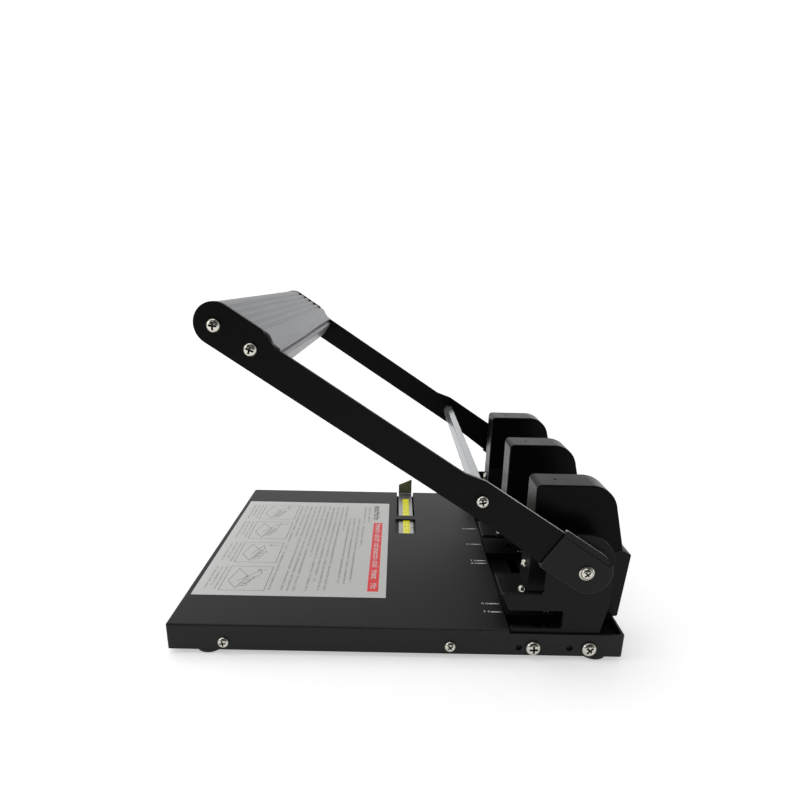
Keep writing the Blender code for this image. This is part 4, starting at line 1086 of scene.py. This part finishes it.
# %% Return springs
def coil_growth():
    tree = Growth("coil", turns="Float", radius="Float", height="Float", wire="Float")
    line = tree.node("GeometryNodeCurveSpiral", {},
                     {"Resolution": 32, "Rotations": tree.inputs["turns"],
                      "Start Radius": tree.inputs["radius"], "End Radius": tree.inputs["radius"],
                      "Height": tree.inputs["height"]})
    ring = tree.node("GeometryNodeCurvePrimitiveCircle", {}, {"Resolution": 10,
                                                              "Radius": tree.inputs["wire"]})
    tube = tree.node("GeometryNodeCurveToMesh", {}, {"Curve": line[0], "Profile Curve": ring[0],
                                                     "Fill Caps": True})
    placed = tree.node("GeometryNodeInstanceOnPoints", {}, {"Points": tree.inputs["Drawing"],
                                                            "Instance": tube[0]})
    return tree.ends(placed[0])


COIL = coil_growth()
for side, x in HEADS.items():
    spring = COIL.grow("spring_" + side, points([(x, -0.057, 0.06685)]), REAR, SPRING_STEEL,
                       turns=6.0, radius=0.0047, height=0.02445, wire=0.00055)
    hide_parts("return_spring_" + side)
    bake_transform(spring)
print("Spring vertices:", len(spring.data.vertices))

# %% [markdown]
# ## Print
#
# Small print is rows of made-up signs. Six signs are drawn with a few strokes each, and a tree sets them
# along the rows of a drawing, with gaps between words at random from a fixed seed. Drawings, frames and
# marks use the same strokes.

# %% Strokes and signs
def strokes(name, paths, width, height=0.0):
    """Flat strips along paths of points, facing up and a hair apart where they cross."""
    form = bmesh.new()
    pairs = [pair for path in paths for pair in zip(path, path[1:])]
    for number, (start, end) in enumerate(pairs):
        level = height + width * 0.01 * (number % 5)
        start, end = Vector((*start, level)), Vector((*end, level))
        along = (end - start).normalized() * (width / 2)
        across = Vector((-along.y, along.x, 0))
        form.faces.new([form.verts.new(spot) for spot in
                        (start - along - across, end + along - across,
                         end + along + across, start - along + across)])
    mesh = bpy.data.meshes.new(name)
    form.to_mesh(mesh)
    form.free()
    thing = bpy.data.objects.new(name, mesh)
    bpy.context.scene.collection.objects.link(thing)
    return thing


def arc(centre, radius, start, end, steps=8):
    return [(centre[0] + radius * math.cos(math.radians(start + (end - start) * i / steps)),
             centre[1] + radius * math.sin(math.radians(start + (end - start) * i / steps)))
            for i in range(steps + 1)]


def made_up_signs():
    """Six signs, one unit high, that read as letters from afar."""
    box = bpy.data.collections.new("signs")
    drawings = [[arc((0, 0), 0.34, 0, 360)], [arc((0, 0), 0.34, 50, 310)], [[(-0.1, -0.4), (-0.1, 0.75)]],
                [[(-0.25, -0.4), (-0.25, 0.35)], arc((0, 0.1), 0.26, 180, 0) + [(0.26, -0.4)]],
                [[(-0.05, -0.4), (-0.05, 0.6)], [(-0.28, 0.3), (0.22, 0.3)]],
                [[(-0.28, 0.35), (0.0, -0.4), (0.28, 0.35)]]]
    for number, drawing in enumerate(drawings):
        sign = strokes("sign_%d" % number, drawing, 0.17)
        bpy.context.scene.collection.objects.unlink(sign)
        box.objects.link(sign)
    bpy.context.scene.collection.children.link(box)
    return box


def print_growth():
    tree = Growth("print", signs="Collection", pitch="Float", size="Float", gaps="Float", seed="Int")
    rows = tree.node("GeometryNodeMeshToCurve", {}, {"Mesh": tree.inputs["Drawing"]})
    spots = tree.node("GeometryNodeCurveToPoints", {"mode": "LENGTH"},
                      {"Curve": rows[0], "Length": tree.inputs["pitch"]})
    gaps = tree.node("FunctionNodeRandomValue", {"data_type": "BOOLEAN"},
                     {"Probability": tree.inputs["gaps"], "Seed": tree.inputs["seed"]})
    words = tree.node("GeometryNodeDeleteGeometry", {"domain": "POINT"},
                      {"Geometry": spots["Points"], "Selection": gaps[3]})
    signs = tree.node("GeometryNodeCollectionInfo", {}, {"Collection": tree.inputs["signs"],
                                                         "Separate Children": True,
                                                         "Reset Children": True})
    along = tree.node("FunctionNodeAlignRotationToVector", {"axis": "X"}, {"Vector": spots["Tangent"]})
    pick = tree.node("FunctionNodeRandomValue", {"data_type": "INT"},
                     {4: 0, 5: 5, "Seed": tree.inputs["seed"]})
    placed = tree.node("GeometryNodeInstanceOnPoints", {},
                       {"Points": words[0], "Instance": signs[0], "Pick Instance": True,
                        "Instance Index": pick[2], "Rotation": along[0], "Scale": tree.inputs["size"]})
    return tree.ends(placed[0])


SIGNS = made_up_signs()
PRINT = print_growth()


def print_rows(name, rows, height, ink, pitch, size, seed, body="base", slot="black_paint", gaps=0.16):
    """Rows are pairs of (x, y) on the table, and height is above it."""
    drawing = lines([((*start, height), (*end, height)) for start, end in rows])
    made = PRINT.grow(name, drawing, TABLE, ink, signs=SIGNS, pitch=pitch, size=size, gaps=gaps, seed=seed)
    return mounted(made, body, slot)


def drawn(name, paths, width, height, ink, body="base", slot="black_paint"):
    thing = strokes(name, paths, width, height)
    thing.matrix_world = TABLE
    return mounted(settled(thing, name, ink), body, slot)


# %% [markdown]
# ## Instruction sheet
#
# A light sheet is stuck on the front of the table. Its top edge lies towards the heads,
# so its rows run along x. Four framed drawings stand at its foot with short rows under
# them, fifteen rows fill its middle, and a heading and a red band close it.

# %% Instruction sheet
SHEET_TOP = 0.0001
INK_HEIGHT = 0.00013
PANELS = [(-0.0955, -0.055), (-0.0475, -0.0058), (0.0035, 0.045), (0.0535, 0.0955)]


def sheet_of_paper():
    paper = prism(rounded([(-0.106, -0.156, 0.001), (0.1035, -0.156, 0.001), (0.1035, -0.0075, 0.001),
                           (-0.106, -0.0075, 0.001)], 6), "Z", 0.00001, SHEET_TOP)
    return mounted(settled(paper, "instruction_sheet", LABEL_PAPER), "base", "black_paint")


def red_band():
    band = prism([(-0.050, -0.0222), (0.0937, -0.0222), (0.0937, -0.0135), (-0.050, -0.0135)], "Z",
                 SHEET_TOP, SHEET_TOP + 0.00001)
    return mounted(settled(band, "red_band", LABEL_RED), "base", "black_paint")


def panel_drawing(left, right, lift):
    """A small line drawing of the machine, with its lever at a given lift."""
    def spot(a, b):
        return (left + a * (right - left), -0.137 + b * 0.035)
    base = [spot(0.10, 0.22), spot(0.62, 0.10), spot(0.92, 0.34), spot(0.42, 0.50), spot(0.10, 0.22)]
    heads = [[spot(0.45 + 0.14 * i, 0.48 - 0.05 * i), spot(0.45 + 0.14 * i, 0.66 - 0.05 * i),
              spot(0.54 + 0.14 * i, 0.64 - 0.05 * i), spot(0.54 + 0.14 * i, 0.45 - 0.05 * i)]
             for i in range(3)]
    lever = [spot(0.84, 0.42), spot(0.30, 0.46 + lift), spot(0.16, 0.40 + lift), spot(0.62, 0.30)]
    arrow = [[spot(0.14, 0.90), spot(0.14, 0.66)], [spot(0.10, 0.73), spot(0.14, 0.66), spot(0.18, 0.73)]]
    frame_lines = [spot(0, 0), spot(1, 0), spot(1, 1), spot(0, 1), spot(0, 0)]
    return [base, lever, frame_lines, *heads, *arrow]


def sheet_print():
    ends = [(-0.094, 0.094), (-0.094, -0.012), (-0.094, 0.094), (-0.094, 0.094), (-0.094, 0.094),
            (-0.094, 0.030), (-0.094, 0.094), (-0.094, 0.078), (-0.094, 0.094), (-0.094, 0.094),
            (-0.094, -0.030), (-0.060, 0.081), (-0.060, 0.081), (-0.060, 0.078), (-0.094, 0.007)]
    rows = [((start, -0.0985 + 0.00475 * i), (end, -0.0985 + 0.00475 * i))
            for i, (start, end) in enumerate(ends)]
    rows += [((-0.094, -0.0275), (-0.052, -0.0275))]
    captions = [((left + 0.001, y), (right - 0.002 - 0.006 * (number % 2), y)) for left, right in PANELS
                for number, y in enumerate((-0.1405, -0.1445, -0.1485))]
    print_rows("sheet_rows", rows, INK_HEIGHT, LABEL_GREY, 0.00135, 0.0017, 11)
    print_rows("sheet_captions", captions, INK_HEIGHT, LABEL_GREY, 0.0011, 0.0014, 5)
    print_rows("sheet_heading", [((-0.0965, -0.0205), (-0.0605, -0.0205))], INK_HEIGHT, LABEL_DARK,
               0.0036, 0.0052, 3, gaps=0.1)
    print_rows("band_words", [((-0.046, -0.0180), (0.088, -0.0180))], INK_HEIGHT, LABEL_WHITE,
               0.0034, 0.0046, 8, gaps=0.12)
    paths = [path for (left, right), lift in zip(PANELS, (0.30, 0.22, 0.12, 0.34))
             for path in panel_drawing(left, right, lift)]
    drawn("sheet_drawings", paths, 0.00034, INK_HEIGHT, LABEL_DARK)


sheet_of_paper()
red_band()
sheet_print()
print("Sheet: 210 x 148 mm, with", len(PANELS), "drawings")

# %% [markdown]
# ## Marks on the table
#
# White marks at the rear edge of the table show where the outer heads go. Each is a small
# sign, then a mark that narrows to a point towards the heads.

# %% Head position marks
def head_marks():
    dashes, rows = [], []
    form = bmesh.new()
    for x in (-0.0393, -0.0019, 0.0334, 0.0388, 0.1091, 0.1214):
        tip = [(0.00072, 0.0700), (0.00072, 0.0745), (0.00018, 0.0782), (-0.00018, 0.0782),
               (-0.00072, 0.0745), (-0.00072, 0.0700)]
        form.faces.new([form.verts.new((x + a, y, 0.00003)) for a, y in tip])
        rows.append(((x, 0.0656), (x, 0.0686)))
    mesh = bpy.data.meshes.new("marks")
    form.to_mesh(mesh)
    form.free()
    marks = bpy.data.objects.new("marks", mesh)
    bpy.context.scene.collection.objects.link(marks)
    marks.matrix_world = TABLE
    mounted(settled(marks, "head_marks", TABLE_INK), "base", "black_paint")
    return print_rows("mark_signs", rows, 0.00003, TABLE_INK, 0.0017, 0.0025, 4, gaps=0.0)


head_marks()
print("Marks: 6")

# %% [markdown]
# ## Tape on the paper stop
#
# The yellow tape carries a scale. A tree sets a tick each millimetre and makes each fifth
# one longer, and plain numbers stand beside them each centimetre.

# %% Tape, ticks and numbers
def tick_growth():
    tree = Growth("ticks", pitch="Float", short="Float", long="Float")
    line = tree.node("GeometryNodeMeshToCurve", {}, {"Mesh": tree.inputs["Drawing"]})
    spots = tree.node("GeometryNodeCurveToPoints", {"mode": "LENGTH"},
                      {"Curve": line[0], "Length": tree.inputs["pitch"]})
    index = tree.node("GeometryNodeInputIndex", {}, {})
    part = tree.node("ShaderNodeMath", {"operation": "MODULO"}, {0: index[0], 1: 5.0})
    fifth = tree.node("ShaderNodeMath", {"operation": "LESS_THAN"}, {0: part[0], 1: 0.5})
    length = tree.node("ShaderNodeMapRange", {}, {"Value": fifth[0], "To Min": tree.inputs["short"],
                                                  "To Max": tree.inputs["long"]})
    scale = tree.node("ShaderNodeCombineXYZ", {}, {"X": 0.00016, "Y": length[0], "Z": 1.0})
    bar = tree.node("GeometryNodeMeshGrid", {}, {"Size X": 1.0, "Size Y": 1.0, "Vertices X": 2,
                                                 "Vertices Y": 2})
    placed = tree.node("GeometryNodeInstanceOnPoints", {}, {"Points": spots["Points"],
                                                            "Instance": bar[0], "Scale": scale[0]})
    return tree.ends(placed[0])


def tape():
    skin = prism([(-0.1276, 0.0069), (0.040, 0.0069), (0.040, 0.0136), (-0.1276, 0.0136)], "Z",
                 -0.00179, -0.00172)
    mounted(settled(skin, "tape", TAPE_YELLOW), "ruler", "ruler_steel")
    line = lines([((-0.126, 0.0126, -0.00170), (0.038, 0.0126, -0.00170))])
    ticks = tick_growth().grow("tape_ticks", line, TABLE, TAPE_INK, pitch=0.001, short=0.0010,
                               long=0.0019)
    mounted(ticks, "ruler", "ruler_steel")


def tape_number(value, x):
    text = bpy.data.curves.new("number", "FONT")
    text.body = str(value)
    text.size, text.align_x = 0.0034, "CENTER"
    thing = bpy.data.objects.new("number", text)
    bpy.context.scene.collection.objects.link(thing)
    thing.matrix_world = TABLE @ Matrix.Translation((x, 0.0079, -0.00170))
    return mounted(settled(thing, "tape_number_%d" % value, TAPE_INK), "ruler", "ruler_steel")


tape()
for value in range(1, 17):
    tape_number(value, 0.034 - 0.010 * value)
print("Tape: 164 ticks and 16 numbers")

# %% [markdown]
# ## Floor, light and camera
#
# The machine stands on a white sheet that glows a little, as one lit from below does. A
# wide overhead light adds the rest. The surroundings are white behind the machine, dark
# behind the camera and dim above. So the table mirrors white at its far end and grey at
# its near one, and the upright faces stay black.

# %% White sweep
def white_sweep():
    ring = [(x, y) for x, y in ((-14, -14), (6, -14), (6, 14), (-14, 14))]
    floor = prism(ring, "Z", -0.02, -0.0001, Matrix.Identity(4))
    sweep = Finish("white sweep")
    cloud = sweep.noise(3.0, 2.0)
    sweep.surface(Base_Color=sweep.mix(cloud, grey(0.88), grey(0.90)), Roughness=cloud * 0.1 + 0.75,
                  Specular_IOR_Level=0.1, Emission_Color=(1, 1, 1, 1), Emission_Strength=0.50)
    floor.data.materials.append(sweep.material)
    floor.name = "sweep"
    return floor


white_sweep()


def lamp(name, place, target, size, watts):
    light = bpy.data.lights.new(name, "AREA")
    light.shape = "RECTANGLE"
    light.size, light.size_y = size
    light.energy = watts
    holder = bpy.data.objects.new(name, light)
    holder.location = place
    holder.rotation_euler = (Vector(target) - Vector(place)).to_track_quat("-Z", "Y").to_euler()
    bpy.context.scene.collection.objects.link(holder)
    return holder


def sky_lamp(turn, wide, strength):
    light = bpy.data.lights.new("overhead light", "SUN")
    light.angle, light.energy = math.radians(wide), strength
    holder = bpy.data.objects.new("overhead light", light)
    holder.rotation_euler = [math.radians(angle) for angle in turn]
    bpy.context.scene.collection.objects.link(holder)
    return holder


sky_lamp((18, -12, 0), 60, 1.0)
lamp("front softbox", (0.6, -1.3, 0.8), (0, 0, 0.1), (0.9, 0.9), 4)
print("Lamps: 2")

# %% Surroundings
def surroundings():
    world = bpy.data.worlds.new("studio")
    world.use_nodes = True
    tree = world.node_tree
    place = tree.nodes.new("ShaderNodeTexCoord").outputs["Generated"]
    split = tree.nodes.new("ShaderNodeSeparateXYZ")
    tree.links.new(place, split.inputs[0])
    both = tree.nodes.new("ShaderNodeMath")
    both.operation = "MULTIPLY"
    fades = (("X", -0.35, 0.75, 1.02, 0.10), ("Z", 0.30, 0.62, 1.0, 0.34))
    for number, (axis, start, end, high, low) in enumerate(fades):
        fade = tree.nodes.new("ShaderNodeMapRange")
        fade.interpolation_type = "SMOOTHSTEP"
        tree.links.new(split.outputs[axis], fade.inputs["Value"])
        for label, value in (("From Min", start), ("From Max", end), ("To Min", high), ("To Max", low)):
            fade.inputs[label].default_value = value
        tree.links.new(fade.outputs["Result"], both.inputs[number])
    ray = tree.nodes.new("ShaderNodeLightPath").outputs["Is Camera Ray"]
    seen = tree.nodes.new("ShaderNodeMath")
    seen.operation = "MAXIMUM"
    tree.links.new(both.outputs[0], seen.inputs[0])
    tree.links.new(ray, seen.inputs[1])
    tree.links.new(seen.outputs[0], tree.nodes["Background"].inputs["Color"])
    bpy.context.scene.world = world


surroundings()
bpy.context.scene.view_settings.view_transform = "Standard"

# %% [markdown]
# The camera stands low on the user's right and looks across the table, a little down. The
# picture is cut from the upper part of a wider view, which the vertical shift reproduces.

# %% Camera
def camera():
    yaw, pitch, roll = (math.radians(angle) for angle in (0.029, 19.669, 1.093))
    ahead = Vector((-math.cos(pitch) * math.cos(yaw), math.cos(pitch) * math.sin(yaw), -math.sin(pitch)))
    level = ahead.cross(Vector((0, 0, 1))).normalized()
    above = level.cross(ahead)
    right = level * math.cos(roll) + above * math.sin(roll)
    top = above * math.cos(roll) - level * math.sin(roll)
    data = bpy.data.cameras.new("camera")
    data.lens, data.sensor_width = 28.147, 36.0
    data.shift_x, data.shift_y = 0.00705, 0.12549
    data.clip_start, data.clip_end = 0.02, 60.0
    holder = bpy.data.objects.new("camera", data)
    turn = Matrix((right, top, -ahead)).transposed().to_4x4()
    holder.matrix_world = Matrix.Translation((0.526430, -0.005271, 0.253675)) @ turn
    bpy.context.scene.collection.objects.link(holder)
    bpy.context.scene.camera = holder


camera()
for sign in list(SIGNS.objects):
    bpy.data.objects.remove(sign, do_unlink=True)
bpy.data.collections.remove(SIGNS)
print("Camera at", [round(v, 3) for v in bpy.context.scene.camera.matrix_world.translation])
